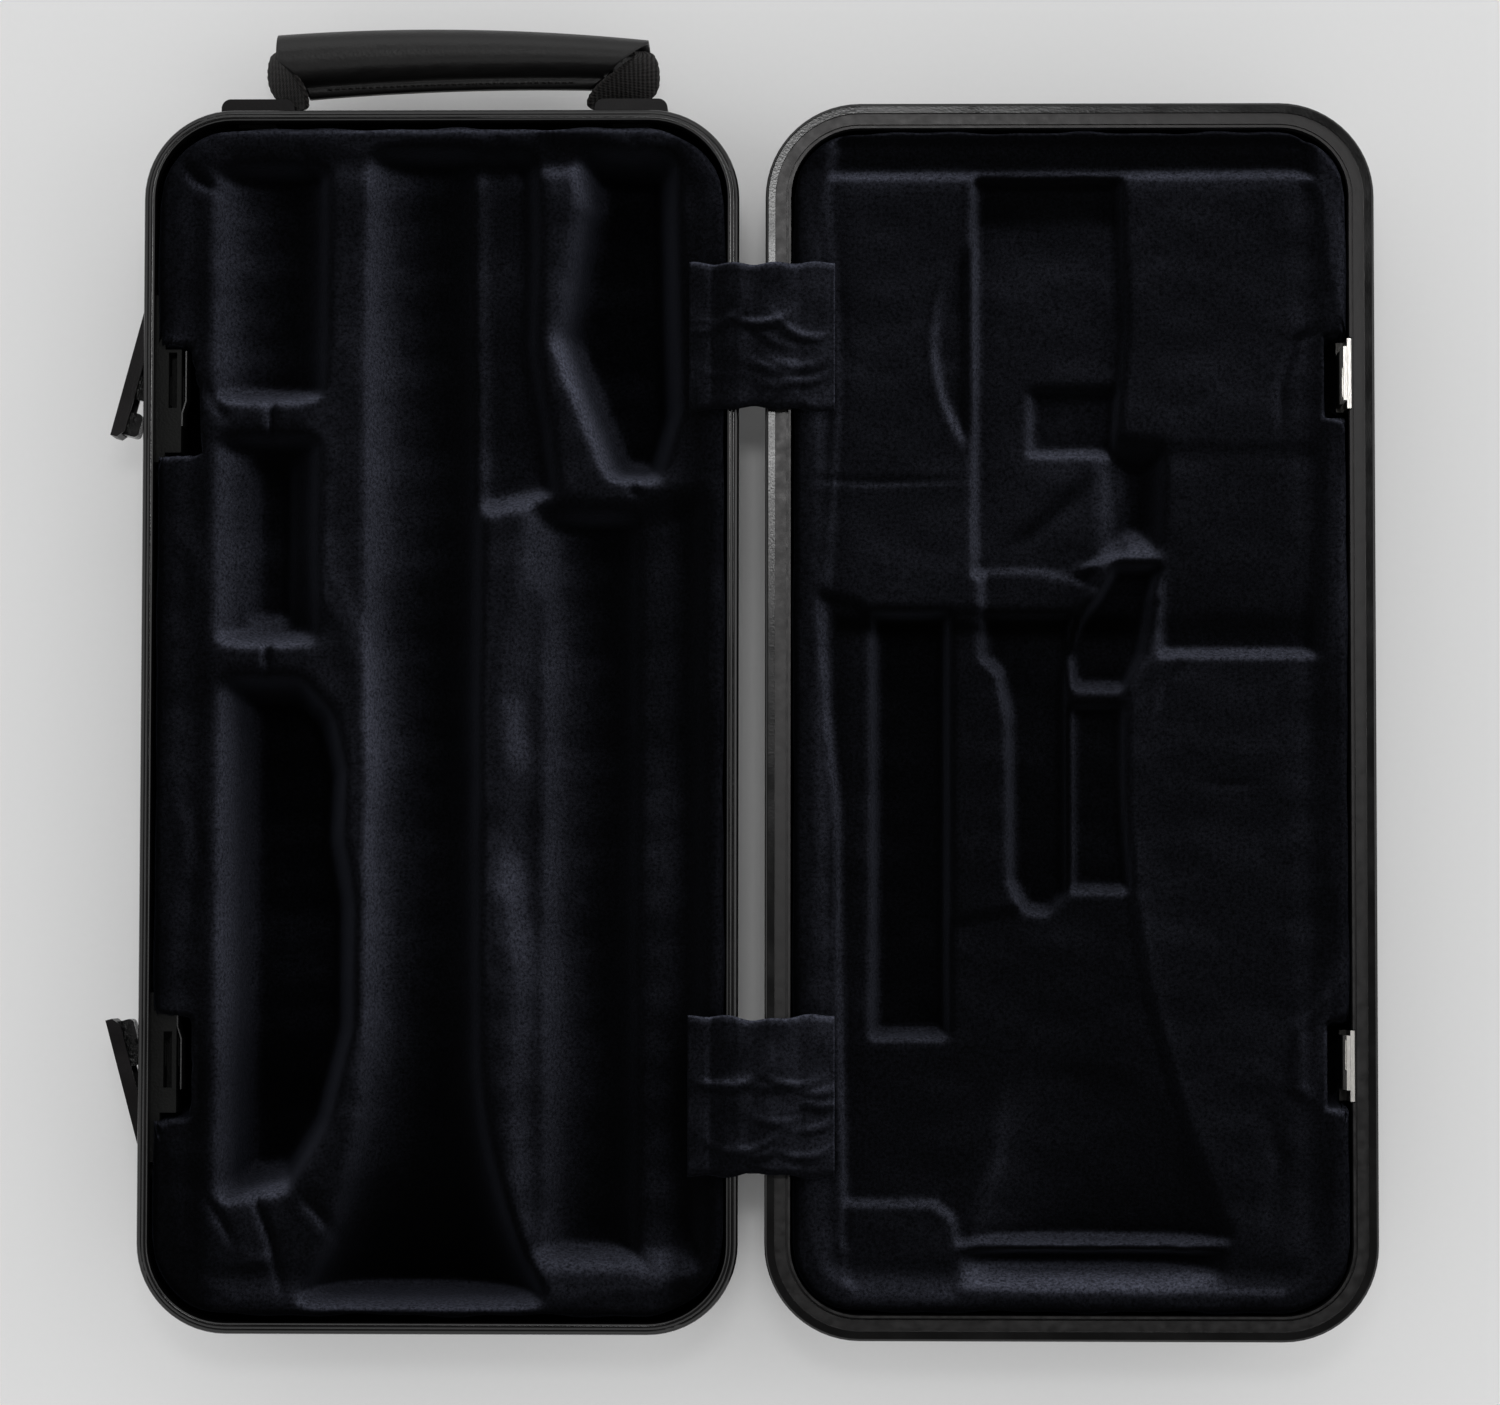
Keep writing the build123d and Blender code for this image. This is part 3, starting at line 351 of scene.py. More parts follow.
# painted shade: hinge leaves and pins under the covers, and the handle's screws and plates by the shell's
# end wall, take the near-black steel; the rivets share it
shadedSteelPieces = ("handle_screws", "handle_backing_plates", "hinge_base_leaf", "hinge_lid_leaf", "hinge_pin")
for row in frame["record"]["subparts"]:
    isShadedSteel = row["node"].startswith(shadedSteelPieces)
    for materialSlot in cadNodes[row["node"]].material_slots:
        materialSlot.material = finish["dark" if isShadedSteel else row["material_slot"]]
print("case: finishes made and given to the fixed parts")


# Velvet linings: a net of points whose drop below the rim is painted outline by outline

lining = {
    "top": 50.5,                               # height of the flat velvet
    "step": 1.2,                               # spacing of the net
    "thickness": 0.8,
    "endWaves": ((0.0022, 0.13, 1), (0.0016, 0.31, 0)),    # share, turn per mm, start
    "sideWaves": ((0.003, 0.06, 0), (0.002, 0.17, 2)),
    "edgeRoll": 1.8,                           # radius of the rolled outer edge
    "rollShare": 0.9,                          # share of that radius by which the edge goes down
    "puff": (0.7, 4.5, 3),                     # swollen border: height, place from the edge, width
    "valley": (0.8, 12, 4),                    # hollow behind it: depth, place from the edge, width
    "skirt": (3.0, 8.0),                       # levels of the turned-down edge
    "skirtFall": 0.13,                         # least fall of a level, as a share of it
}
foam = {
    "gap": 1.4,                                # distance under the velvet
    "floor": 3.0,                              # height of its underside
    "least": 0.6,                              # least thickness
    "foot": (0.89, 0.945),                     # size of the underside against the top
}


def polygonDistance(outline, x, y):
    # distance to a closed outline, negative inside it
    points = np.array(outline, float)
    best = np.full(x.shape, 1e9)
    inside = np.zeros(x.shape, bool)
    for a, b in zip(points, np.roll(points, -1, axis=0)):
        edge = b - a
        wx, wy = x - a[0], y - a[1]
        t = np.clip((wx * edge[0] + wy * edge[1]) / (edge @ edge), 0, 1)
        best = np.minimum(best, np.hypot(wx - t * edge[0], wy - t * edge[1]))
        if edge[1]:
            crossing = a[0] + (y - a[1]) * edge[0] / edge[1]
            inside ^= ((a[1] > y) != (b[1] > y)) & (x < crossing)
    return np.where(inside, -best, best)


def maskOf(outline, x, y, wall):
    return smoothStep(0.5 - polygonDistance(outline, x, y) / wall)


def paint(drop, outline, value, wall, x, y):
    # sets the drop inside the outline, with a wall this wide on its edge
    mask = maskOf(outline, x, y, wall)
    return drop * (1 - mask) + value * mask


def between(value, low, high, wall):
    return smoothStep(0.5 + (value - low) / wall) * smoothStep(0.5 + (high - value) / wall)


def roundTrough(x, y, centre, radius, ends, wall, extra):
    across = np.abs(x - centre)
    depth = np.sqrt(np.clip(radius ** 2 - across ** 2, 0, None))
    depth = depth + extra * smoothStep((radius - across) / 2)
    return depth * between(y, *ends, wall)


def crease(x, y, path, width, depth):
    # a soft groove, or a ridge where the depth is negative, that fades out at its ends
    points = np.array(path, float)
    best = np.full(x.shape, 1e9)
    fade = np.zeros(x.shape)
    count = len(points) - 1
    for i in range(count):
        a, edge = points[i], points[i + 1] - points[i]
        t = np.clip(((x - a[0]) * edge[0] + (y - a[1]) * edge[1]) / (edge @ edge), 0, 1)
        distance = np.hypot(x - a[0] - t * edge[0], y - a[1] - t * edge[1])
        nearer = distance < best
        best = np.where(nearer, distance, best)
        fade = np.where(nearer, np.sin(pi * np.clip((i + t) / count, 0.04, 0.96)), fade)
    return depth * np.exp(-(best / width) ** 2) * fade


def smoothMax(values, blend=1.5):
    total = values[0]
    for value in values[1:]:
        share = np.clip(0.5 + 0.5 * (total - value) / blend, 0, 1)
        total = value * (1 - share) + total * share + blend * share * (1 - share) * 0.5
    return total


def soften(z, passes):
    for _ in range(passes):
        padded = np.pad(z, 1, mode="edge")
        ring = padded[:-2, 1:-1] + padded[2:, 1:-1] + padded[1:-1, :-2] + padded[1:-1, 2:]
        z = 0.36 * z + 0.16 * ring
    return z


def swell(x, y, seed, size, lengths):
    # slow unevenness of the cloth, made of a few crossed waves
    rng = np.random.default_rng(seed)
    total = np.zeros(x.shape)
    for length in lengths:
        for _ in range(3):
            angle, phase = rng.uniform(0, 2 * pi, 2)
            total += np.sin((x * cos(angle) + y * sin(angle)) * 2 * pi / length + phase) * length
    return total * size / (sum(lengths) * 3)


def wavy(place, waves):
    # a factor that wanders a little to both sides of 1
    factor = 1
    for share, turn, start in waves:
        factor = factor + share * np.sin(place * turn + start)
    return factor


def liningNet(halfX, halfY, corner):
    # rows follow the rounded outline, so the net's edge is the velvet's slightly wavy edge
    columns = int(round(2 * halfX / lining["step"])) + 1
    rows = int(round(2 * halfY / lining["step"])) + 1
    u = np.linspace(-halfX, halfX, columns)
    reach = np.full(columns, float(halfY))
    over = np.clip(np.abs(u) - (halfX - corner), 0, None)
    rounded = halfY - corner + np.sqrt(np.clip(corner ** 2 - over ** 2, 0, None))
    reach = np.where(over > 0, rounded, reach) * wavy(u, lining["endWaves"])
    x = np.repeat(u[None, :], rows, axis=0)
    y = np.linspace(-1, 1, rows)[:, None] * reach[None, :]
    return x * wavy(y, lining["sideWaves"]), y


def mound(place, height, middle, width):
    return height * np.exp(-((place - middle) / width) ** 2)


def edgeDistance(x, y, halfX, halfY, corner):
    qx, qy = np.abs(x) - (halfX - corner), np.abs(y) - (halfY - corner)
    outside = np.hypot(np.clip(qx, 0, None), np.clip(qy, 0, None))
    return np.clip(corner - outside - np.minimum(np.maximum(qx, qy), 0), 0, None)


def paintedShadingOf(x, y, patches, ridges):
    # painted light and shade on the velvet: how much paler or darker it is painted, pale along edges that
    # catch the light and dark where shade falls
    paintedShading = np.zeros(x.shape)
    for amount, wall, outline in patches:
        paintedShading = paintedShading + amount * maskOf(outline, x, y, wall)
    for amount, width, path in ridges:
        paintedShading = paintedShading + crease(x, y, path, width, amount)
    return paintedShading


def layLining(name, originX, size, depthOf, paintedShading, look, body, node):
    x, y = liningNet(*size)
    edge = edgeDistance(x, y, *size)
    drop = depthOf(x, y, mound(edge, *lining["valley"]) - mound(edge, *lining["puff"]))
    roll = lining["edgeRoll"]
    inward = np.clip(roll - edge, 0, roll)
    z = lining["top"] - drop - lining["rollShare"] * (roll - np.sqrt(roll ** 2 - inward ** 2))
    rows, columns = x.shape
    points = [np.stack([x + originX, y, z], axis=-1).reshape(-1, 3)]
    faces = gridFaces(rows, columns)
    above = borderOf(rows, columns)
    rim = points[0][above]
    count = rows * columns
    for level in lining["skirt"]:
        ring = rim.copy()
        ring[:, 2] = np.minimum(ring[:, 2] - lining["skirtFall"] * level, lining["top"] - level)
        points.append(ring)
        below = list(range(count, count + len(above)))
        faces += list(zip(above, below, below[1:] + below[:1], above[1:] + above[:1]))
        above = below
        count += len(below)
    piece = meshPiece(name, np.concatenate(points), faces, look)
    # painted light and shade for the net's points; none on the turned-down edge
    tones = np.zeros(count)
    tones[:x.size] = paintedShadingOf(x, y, *paintedShading).ravel()
    piece.data.attributes.new("paintedShading", "FLOAT", "POINT").data.foreach_set("value", tones)
    skin = piece.modifiers.new("thickness", "SOLIDIFY")
    skin.thickness = lining["thickness"] * mm
    skin.offset = -1
    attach(piece, body)
    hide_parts(node)
    return x, y, z


def layFoam(name, originX, net, body, node):
    # the insert follows the velvet from below, clear of it everywhere
    x, y, z = (values[2:-2:2, 2:-2:2] for values in net)
    low = z
    for _ in range(2):
        padded = np.pad(low, 1, mode="edge")
        windows = [padded[i:i + z.shape[0], j:j + z.shape[1]] for i in range(3) for j in range(3)]
        low = np.minimum.reduce(windows)
    low = np.clip(low - foam["gap"], foam["floor"] + foam["least"], None)
    flat = np.full(x.shape, foam["floor"])
    footX, footY = foam["foot"]
    rows, columns = x.shape
    top = np.stack([x + originX, y, low], axis=-1).reshape(-1, 3)
    bottom = np.stack([x * footX + originX, y * footY, flat], axis=-1).reshape(-1, 3)
    count = rows * columns
    faces = gridFaces(rows, columns)
    faces += [tuple(count + v for v in face[::-1]) for face in faces]
    loop = borderOf(rows, columns)
    after = loop[1:] + loop[:1]
    faces += [(a, count + a, count + b, b) for a, b in zip(loop, after)]
    piece = meshPiece(name, np.concatenate([top, bottom]), faces, finish["foam"])
    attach(piece, body)
    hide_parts(node)


# the two edges that wander beside the base's long trough
leftWave = [(-40, 168), (-40, 137), (-37, 98), (-41, 78), (-39, 47), (-30, 32), (-23, 16), (-22, -20),
    (-24, -45), (-20, -68), (-21, -94)]
rightWave = [(30, 62), (18, 37), (12, 6), (15, -17), (11.5, -43), (15, -71), (14, -96)]
baseRelief = {
    # the long trough, whose lower end flares to the bell's radius
    "joint": {"x": -5.0, "radius": 17.8, "ends": (-183.5, 181), "wall": 2.5, "flareFrom": -98,
        "bell": 38.8, "flare": 2.1},
    "troughs": {
        # x, radius, ends, width of the end walls, depth below the half circle
        "barrel": (-54.2, 17.4, (103, 176), 4, 0.0),
        "mouthpiece": (-54.8, 15.6, (25.6, 89), 4, 0.0),
        "upper": (48.4, 15.6, (-170, 64), 2.5, 3.0),
    },
    "pockets": {
        # depth, width of the wall, outline
        "slot": (20, 4, [(-62, 84), (-48, 84), (-48, 31), (-62, 31)]),
        "accessory": (34, 9, [(-66, 10), (-46, 10), (-37, 0), (-33, -17), (-34, -38), (-30.5, -58),
            (-30.5, -98), (-38, -128), (-49, -146), (-66, -149)]),
        "keys": (11, 6, [(10, 180), (29, 180), (30, 150), (29, 118), (33, 96), (36, 72), (12, 66)]),
        "small": (29, 8, [(46, 180), (72, 178), (74, 98), (68, 79), (56, 79), (46, 104), (39, 122),
            (47, 164)]),
        "smallLedge": (4, 4, [(30, 186), (53, 184), (53, 175), (30, 175)]),
        "upper": (7.5, 11, [(30, 68), (56, 66), (82, 70), (83, -172), (28, -172), (25, -120),
            (27, -78), (22, -43), (26, -17), (23, 6), (30, 40)]),
    },
    "notches": {
        # cut where the latch housings stand
        "upper": (42, 2.5, [(-99, 118.5), (-81.4, 118), (-78.2, 103), (-77.4, 85), (-99, 84.5)]),
        "lower": (42, 2.5, [(-99, -94.5), (-80, -95.5), (-79, -110), (-80, -126), (-99, -126.5)]),
    },
    "swells": ((3, 1.6, (60, 31, 15)), (4, 0.12, (9, 6))),     # seed, size, wave lengths
    "folds": [
        # path, width, depth
        (leftWave, 4.0, -1.5),
        (rightWave, 4.0, -1.5),
    ],
    "sharpFolds": [
        ([(-54, 105), (-54.4, 96), (-54, 87)], 1.2, 3.2),
        ([(-55.5, 27), (-55, 19), (-54.5, 11)], 1.2, 3.0),
        ([(-60, -146), (-53, -165), (-49, -183)], 1.2, 2.2),
        ([(-74, -150), (-68, -160), (-63, -170)], 1.5, 1.4),
        ([(-44, -150), (-36, -159), (-31, -168)], 1.7, 1.6),
        ([(-70, -166), (-60, -172), (-52, -171)], 2.0, -1.1),
        ([(52, -172), (60, -168), (70, -176)], 1.6, 1.6),
        ([(78, -160), (83, -168), (80, -176)], 1.8, 1.2),
        ([(-84, 178), (-78, 172), (-71, 168)], 1.4, 2.2),
        ([(-46, 183), (-42, 176), (-38, 170)], 1.4, 1.5),
        ([(60, 186), (65, 181), (68, 176)], 1.4, 1.8),
        ([(16, 186), (22, 180), (26, 172)], 1.5, 1.4),
        ([(-76, 108), (-72, 100), (-68, 94)], 1.8, 1.5),
        ([(-80, 60), (-77, 44), (-81, 26)], 2.6, -0.9),
        ([(-80, -20), (-76, -44), (-81, -70)], 2.6, 0.9),
        ([(60, 76), (61, 72), (66, 70)], 1.4, 1.6),
    ],
}
# painted light and shade on the base's velvet: dark strips and ends where shade falls, pale lines along
# edges that catch the light
basePaintedShading = (
    [
        # amount, wall, outline
        (-0.45, 8, [(-94, 195), (-72, 195), (-72, -195), (-94, -195)]),
        (-0.45, 6, [(73, 195), (94, 195), (94, -195), (73, -195)]),
        (-0.35, 30, [(-94, -100), (94, -100), (94, -195), (-94, -195)]),
        (-0.25, 8, [(-94, 195), (94, 195), (94, 180), (-94, 180)]),
    ],
    [
        # amount, width, path
        (0.6, 4.0, leftWave),
        (0.9, 4.0, [(-30, -101), (-37, -129), (-49, -147), (-66, -151)]),
        (0.8, 3.5, [(-66, 12), (-45, 11), (-35, -2), (-31, -17), (-33, -38), (-30, -56), (-30, -101)]),
        (0.5, 3.0, [(43, 178), (43, 142), (38, 119), (44, 100), (55, 79)]),
        (0.3, 4.0, rightWave),
        (1.1, 1.3, [(-81, 120), (-79.5, 103), (-76.5, 84)]),
        (1.0, 1.5, [(-91, 121), (-86, 120.5), (-80, 119.5)]),
        (1.1, 1.3, [(-79.5, -94), (-78, -110), (-78.5, -127)]),
        (0.7, 1.2, [(-66, 187.6), (0, 187.8), (66, 187.6)]),
        (0.6, 2.0, [(-80, 186), (-72, 181), (-66, 178)]),
        (0.5, 2.5, [(-38, 184), (-26, 182), (-12, 184)]),
        (0.7, 3.0, [(56, 186), (62, 181), (70, 183)]),
    ],
)


def addFolds(drop, folds, x, y):
    for path, width, depth in folds:
        drop = drop + crease(x, y, path, width, depth)
    return drop


def addSwells(drop, swells, x, y):
    for seed, size, lengths in swells:
        drop = drop + swell(x, y, seed, size, lengths)
    return drop


def baseDepth(x, y, border):
    joint = baseRelief["joint"]
    flareTo = joint["ends"][0]
    share = np.clip((joint["flareFrom"] - y) / (joint["flareFrom"] - flareTo), 0, 1)
    radius = joint["radius"] + (joint["bell"] - joint["radius"]) * share ** joint["flare"]
    trough = np.sqrt(np.clip(radius ** 2 - (x - joint["x"]) ** 2, 0, None))
    hollows = [trough * between(y, *joint["ends"], joint["wall"])]
    for sizes in baseRelief["troughs"].values():
        hollows.append(roundTrough(x, y, *sizes))
    for depth, wall, outline in baseRelief["pockets"].values():
        hollows.append(depth * maskOf(outline, x, y, wall))
    drop = addFolds(smoothMax(hollows) + border, baseRelief["folds"], x, y)
    drop = addFolds(soften(drop, 5), baseRelief["sharpFolds"], x, y)
    drop = addSwells(drop, baseRelief["swells"], x, y)
    for depth, wall, outline in baseRelief["notches"].values():
        drop = np.maximum(drop, depth * maskOf(outline, x, y, wall))
    return drop


lidRelief = {
    # name: depth, width of the wall, outline in the lid's own plan; later ones lie over earlier ones
    "topValley": (4.6, 3.5, [(-74, 185), (76, 185), (78, 173), (-76, 173)]),
    "field": (1.2, 2.0, [(-77, 173), (-75, 140), (-74, 100), (-76, 62), (-77, 40), (-77, 0), (-74, -30),
        (-73, -106), (-71, -178), (68, -181), (83, -150), (86, 120), (80, 166), (72, 174)]),
    "lowField": (4.2, 2.2, [(-79, 40), (-66, 36), (-65, 34), (-30, 34), (28, 37), (24, 21), (18, 11),
        (17, -17), (20, -55), (25, -86), (33, -116), (44, -151), (51, -164), (-71, -166),
        (-73, -106), (-74, -30), (-77, 0)]),
    "spine": (2.4, 3, [(-38, 34), (-30, 34), (-28, 21), (-22, 16), (-19, 1), (-19, -51), (-14, -60),
        (-38, -64)]),
    "block": (1.3, 2.0, [(-71, -153), (-43, -153), (-37, -158), (-35.5, -168), (-36, -183), (-70, -183)]),
    "middle": (7.5, 2.6, [(-30, 172), (16, 172), (18, 124), (14, 88), (18, 54), (0, 46), (-30, 46)]),
    "middleFoot": (6.0, 2.6, [(-28, 47), (8, 47), (2, 33), (-28, 31)]),
    "squarePocket": (12.5, 3.0, [(-12, 105), (15, 105), (14, 85), (-12, 85)]),
    "hole": (15.0, 12, [(13, 86), (29, 84), (28, 62), (26, 56), (14, 56)]),
    "neck": (13.0, 3.5, [(15, 48), (28, 48), (25, 37), (22, 21), (17, 10.5), (2, 10.5), (0, 21),
        (4, 31), (10, 39)]),
    "third": (11.0, 3, [(1, 4), (17, 4), (17, -25), (19, -54), (1, -54)]),
    "second": (12.5, 3, [(-27, 33), (1, 33), (-1, 10), (-1, -55), (-7, -61), (-14, -60), (-18.5, -51),
        (-19, 1), (-22, 15), (-27, 20)]),
    "long": (15.5, 3, [(-62, 33), (-39, 33), (-39, -100), (-62, -100)]),
}

# the edge that wanders from the middle of the lid to its lower end
lidRidge = [(24, 60), (28, 37), (24, 21), (17, 6), (17, -17), (20, -55), (25, -86), (33, -116),
    (44, -151), (52, -165)]
lidShape = {
    # a field that steps down at one Y and then slopes
    "side": {"outline": [(30, 89), (80, 89), (78, 21), (29, 21)], "wall": 3.5, "depth": 1.2,
        "step": (0.8, 89, 6), "slope": (5.5, 60, 40, 1.6)},
    "crescent": {"x": 9.4, "y": 118.5, "radius": 54.0, "depth": 3.4, "edge": -31.5,
        "walls": (4, 2.5)},
    # the dish that clears the bell: places, sizes and depths at its start and at its end
    "bell": {"ends": (-165, -108), "wall": 4, "x": (6, 9), "halfWidth": (24, 42.0), "depth": (4, 13)},
    "rimTrough": {"x": 7, "halfWidth": 43, "ends": (-176, -168), "walls": (9, 2.5), "depth": 14},
    # openings beside the strikes: ends along Y, X range, depth and width of the wall
    "strikes": {"spans": ((96.5, 121), (-122, -96.5)), "x": (82, 96), "depth": 30, "wall": 2.5},
    "swells": ((8, 1.0, (64, 30, 15)), (9, 0.06, (9, 6))),
    "folds": [
        # path, width, depth
        ([(-88, 76), (-60, 75.5), (-31, 76)], 0.9, 0.9),
        ([(-34, 152), (-42, 137), (-44.5, 118), (-41, 100), (-33, 86)], 1.1, -0.8),
        ([(-28, 49), (-10, 61), (11, 80)], 3.0, 1.1),
        ([(-10, 47), (2, 46), (12, 40)], 1.6, 1.2),
        (lidRidge, 1.4, -1.2),
        ([(38, 20), (31, 12), (28, 0)], 1.6, 1.2),
        ([(67, 90), (67, 106), (72, 120), (81, 125)], 1.5, 1.8),
        ([(84, -84), (72, -98), (71, -116), (78, -122)], 2.0, -1.8),
        ([(40, -20), (52, -21), (62, -20)], 1.2, 0.4),
        ([(79, 174), (84, 160), (83, 140)], 2.4, -1.6),
        ([(-34, 150), (-31.5, 170), (-31, 174)], 1.5, -0.8),
        ([(60, -120), (66, -140), (62, -165)], 3.0, 0.8),
        ([(-77, 160), (-75, 139), (-74, 103), (-76, 62), (-77, 37)], 1.3, -0.9),
        ([(-77, 40), (-77, 1), (-74, -30), (-73, -106), (-72, -150)], 1.3, -1.1),
        ([(-36, -167), (0, -165), (30, -166), (50, -172)], 1.2, -1.0),
    ],
}
# painted light and shade on the lid's velvet: dark ledges and bands where shade falls, pale patches and
# lines where the light catches
lidPaintedShading = (
    [
        # amount, wall, outline
        (-0.5, 14, [(-79, 38), (-30, 34), (22, 40), (16, -17), (19, -55), (24, -86), (42, -151),
            (50, -168), (-72, -168)]),
        (-0.3, 16, [(26, 22), (90, 22), (90, -190), (52, -190), (30, -90)]),
        (-0.35, 4, [(-95, 190), (-78, 190), (-78, -190), (-95, -190)]),
        (-0.3, 8, [(-95, 195), (95, 195), (95, 175), (-95, 175)]),
        (0.35, 6, [(-30, 150), (16, 150), (14, 60), (-28, 52)]),
        (-0.75, 7, [(-29, 173), (15, 173), (16, 158), (-29, 158)]),
        (-0.5, 5, [(-75, 34), (76, 34), (78, 27), (-75, 27)]),
        (0.2, 5, [(30, 16), (76, 16), (76, -10), (30, -10)]),
        (0.45, 10, [(-20, -116), (24, -116), (44, -160), (-30, -160)]),
    ],
    [
        # amount, width, path
        (0.45, 2.2, [(-36, -175), (-10, -176), (25, -176), (49, -177)]),
        (0.5, 2.0, lidRidge),
        (0.6, 2.0, [(-20, -112), (-22, -139), (-33, -159)]),
        (0.8, 4.0, [(70, 184), (81, 174), (85, 158), (85, 140)]),
        (-0.75, 3.5, [(-30, 45), (-10, 61), (14, 84)]),
        (1.2, 2.4, [(84, 170), (86, 140), (86, 122)]),
        (0.9, 2.2, [(84, 92), (86, 60), (86, 10)]),
        (1.0, 2.4, [(86, -70), (80, -95), (79, -112), (84, -124)]),
        (1.2, 3.2, [(-82, 172), (-81, 140), (-80, 100), (-81, 60)]),
        (0.7, 2.4, [(-80, 38), (-79, 0), (-77, -60), (-76, -120)]),
    ],
)


def blendOf(pair, share):
    return pair[0] + (pair[1] - pair[0]) * share


def bellDish(x, y):
    bell = lidShape["bell"]
    end, start = bell["ends"]
    share = np.clip((start - y) / (start - end), 0, 1)
    across = (x - blendOf(bell["x"], share)) / blendOf(bell["halfWidth"], share ** 0.9)
    bowl = np.clip(1 - across ** 2, 0, 1) ** 0.5
    return blendOf(bell["depth"], share) * bowl * between(y, end, start, bell["wall"])


def rimSlot(x, y):
    # the trough for the bell's edge
    rim = lidShape["rimTrough"]
    low, high = rim["ends"]
    lowWall, highWall = rim["walls"]
    arch = np.clip(1 - ((x - rim["x"]) / rim["halfWidth"]) ** 4, 0, 1)
    slot = smoothStep(0.5 + (y - low) / lowWall) * smoothStep(0.5 + (high - y) / highWall)
    return rim["depth"] * arch * slot


def lidDepth(x, y, border):
    drop = np.zeros(x.shape)
    for depth, wall, outline in lidRelief.values():
        drop = paint(drop, outline, depth, wall, x, y)
    side = lidShape["side"]
    stepDown, stepY, stepWidth = side["step"]
    slope, slopeY, slopeRun, slopeCurve = side["slope"]
    depth = side["depth"] + stepDown * smoothStep((stepY - y) / stepWidth)
    depth = depth + slope * np.clip((slopeY - y) / slopeRun, 0, 1) ** slopeCurve
    drop = paint(drop, side["outline"], depth, side["wall"], x, y)
    arc = lidShape["crescent"]
    inside = smoothStep((arc["radius"] - np.hypot(x - arc["x"], y - arc["y"])) / arc["walls"][0])
    drop = drop + arc["depth"] * inside * smoothStep((arc["edge"] - x) / arc["walls"][1])
    drop = soften(smoothMax([drop, bellDish(x, y), rimSlot(x, y)]) + border, 1)
    drop = addFolds(drop, lidShape["folds"], x, y)
    drop = addSwells(drop, lidShape["swells"], x, y)
    cut = lidShape["strikes"]
    near, far = cut["x"]
    for low, high in cut["spans"]:
        opening = [(near, low), (near, high), (far, high), (far, low)]
        drop = np.maximum(drop, cut["depth"] * maskOf(opening, x, y, cut["wall"]))
    return drop


baseNet = layLining("baseVelvetLining", 0, (90.3, 188.6, 24.8), baseDepth, basePaintedShading,
    finish["baseVelvet"], "base", "base_lining")
lidNet = layLining("lidVelvetLining", lidX, (87.7, 187.0, 21), lidDepth, lidPaintedShading, finish["lidVelvet"],
    "lid", "lid_lining")
layFoam("baseFoamInsert", 0, baseNet, "base", "base_insert")
layFoam("lidFoamInsert", lidX, lidNet, "lid", "lid_insert")
print("case: velvet linings and foam inserts laid")


# Hinge covers: velvet flaps that climb over both rims and hide the hinges

cover = {
    "net": (61, 71),                           # points along Y and along X
    "thickness": 0.9,
    # X and height from the base's side to the lid's
    "profile": [(79.2, 51.8), (82, 52.4), (84.8, 52.7), (86.4, 52.3), (88.4, 53.4), (91, 55.0),
        (95, 56.1), (99.5, 55.8), (104.5, 56.1), (110, 55.4), (113.2, 54.5), (114.6, 54.0),
        (117, 53.8), (122, 52.7), (125.4, 51.7)],
    "climb": 8,                                # how much longer the flat flap is than its plan
    "waist": (0.05, 100, 8),                   # narrowing over the hinge: share, X, width
    "wrinkles": 16,
    "wrinkleX": (88, 124),
    "wrinkleHeight": (0.3, 0.9),
    "wrinkleHalf": (1.3, 7),                   # across and along
    "curl": (0.7, 0.93),                       # fall of the outer edges, and where it starts
}


def coverPiece(name, middleY, halfY, seed, node):
    rows, columns = cover["net"]
    profile = np.array(cover["profile"])
    start, end = profile[0, 0], profile[-1, 0]
    x = np.repeat(np.linspace(start, end, columns)[None, :], rows, axis=0)
    v = np.repeat(np.linspace(-1, 1, rows)[:, None], columns, axis=1)
    share, waistX, waistWidth = cover["waist"]
    waist = 1 - share * np.exp(-((x - waistX) / waistWidth) ** 2)
    fray = 0.35 * np.sin(x * 0.5 + seed) + 0.3 * np.sin(x * 0.23 + 2 * seed)
    y = middleY + v * (halfY * waist + fray)
    z = soften(np.interp(x, profile[:, 0], profile[:, 1]), 2)
    rng = np.random.default_rng(seed)
    halfAcross, halfAlong = cover["wrinkleHalf"]
    for _ in range(cover["wrinkles"]):
        cx = rng.uniform(*cover["wrinkleX"])
        cy = rng.uniform(middleY - halfY, middleY + 0.2 * halfY)
        angle = rng.normal(0.1, 0.35)
        along = (x - cx) * cos(angle) + (y - cy) * sin(angle)
        across = (y - cy) * cos(angle) - (x - cx) * sin(angle) - 0.03 * along ** 2
        height = rng.uniform(*cover["wrinkleHeight"])
        z = z + height * np.exp(-(across / halfAcross) ** 2 - (along / halfAlong) ** 2)
    fall, fallFrom = cover["curl"]
    z = z + 0.25 * (np.sin(y * 0.35 + seed) * np.sin(x * 0.22) + 1)
    z = z - fall * smoothStep((np.abs(v) - fallFrom) / (1 - fallFrom))
    points = np.stack([x, y, z], axis=-1).reshape(-1, 3)
    piece = meshPiece(name, points, gridFaces(rows, columns), finish["coverVelvet"])
    skin = piece.modifiers.new("thickness", "SOLIDIFY")
    skin.thickness = cover["thickness"] * mm
    skin.offset = 0
    bpy.ops.object.select_all(action="DESELECT")
    piece.select_set(True)
    bpy.context.view_layer.objects.active = piece
    bpy.ops.object.modifier_apply(modifier="thickness")
    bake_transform(piece)
    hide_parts(node)


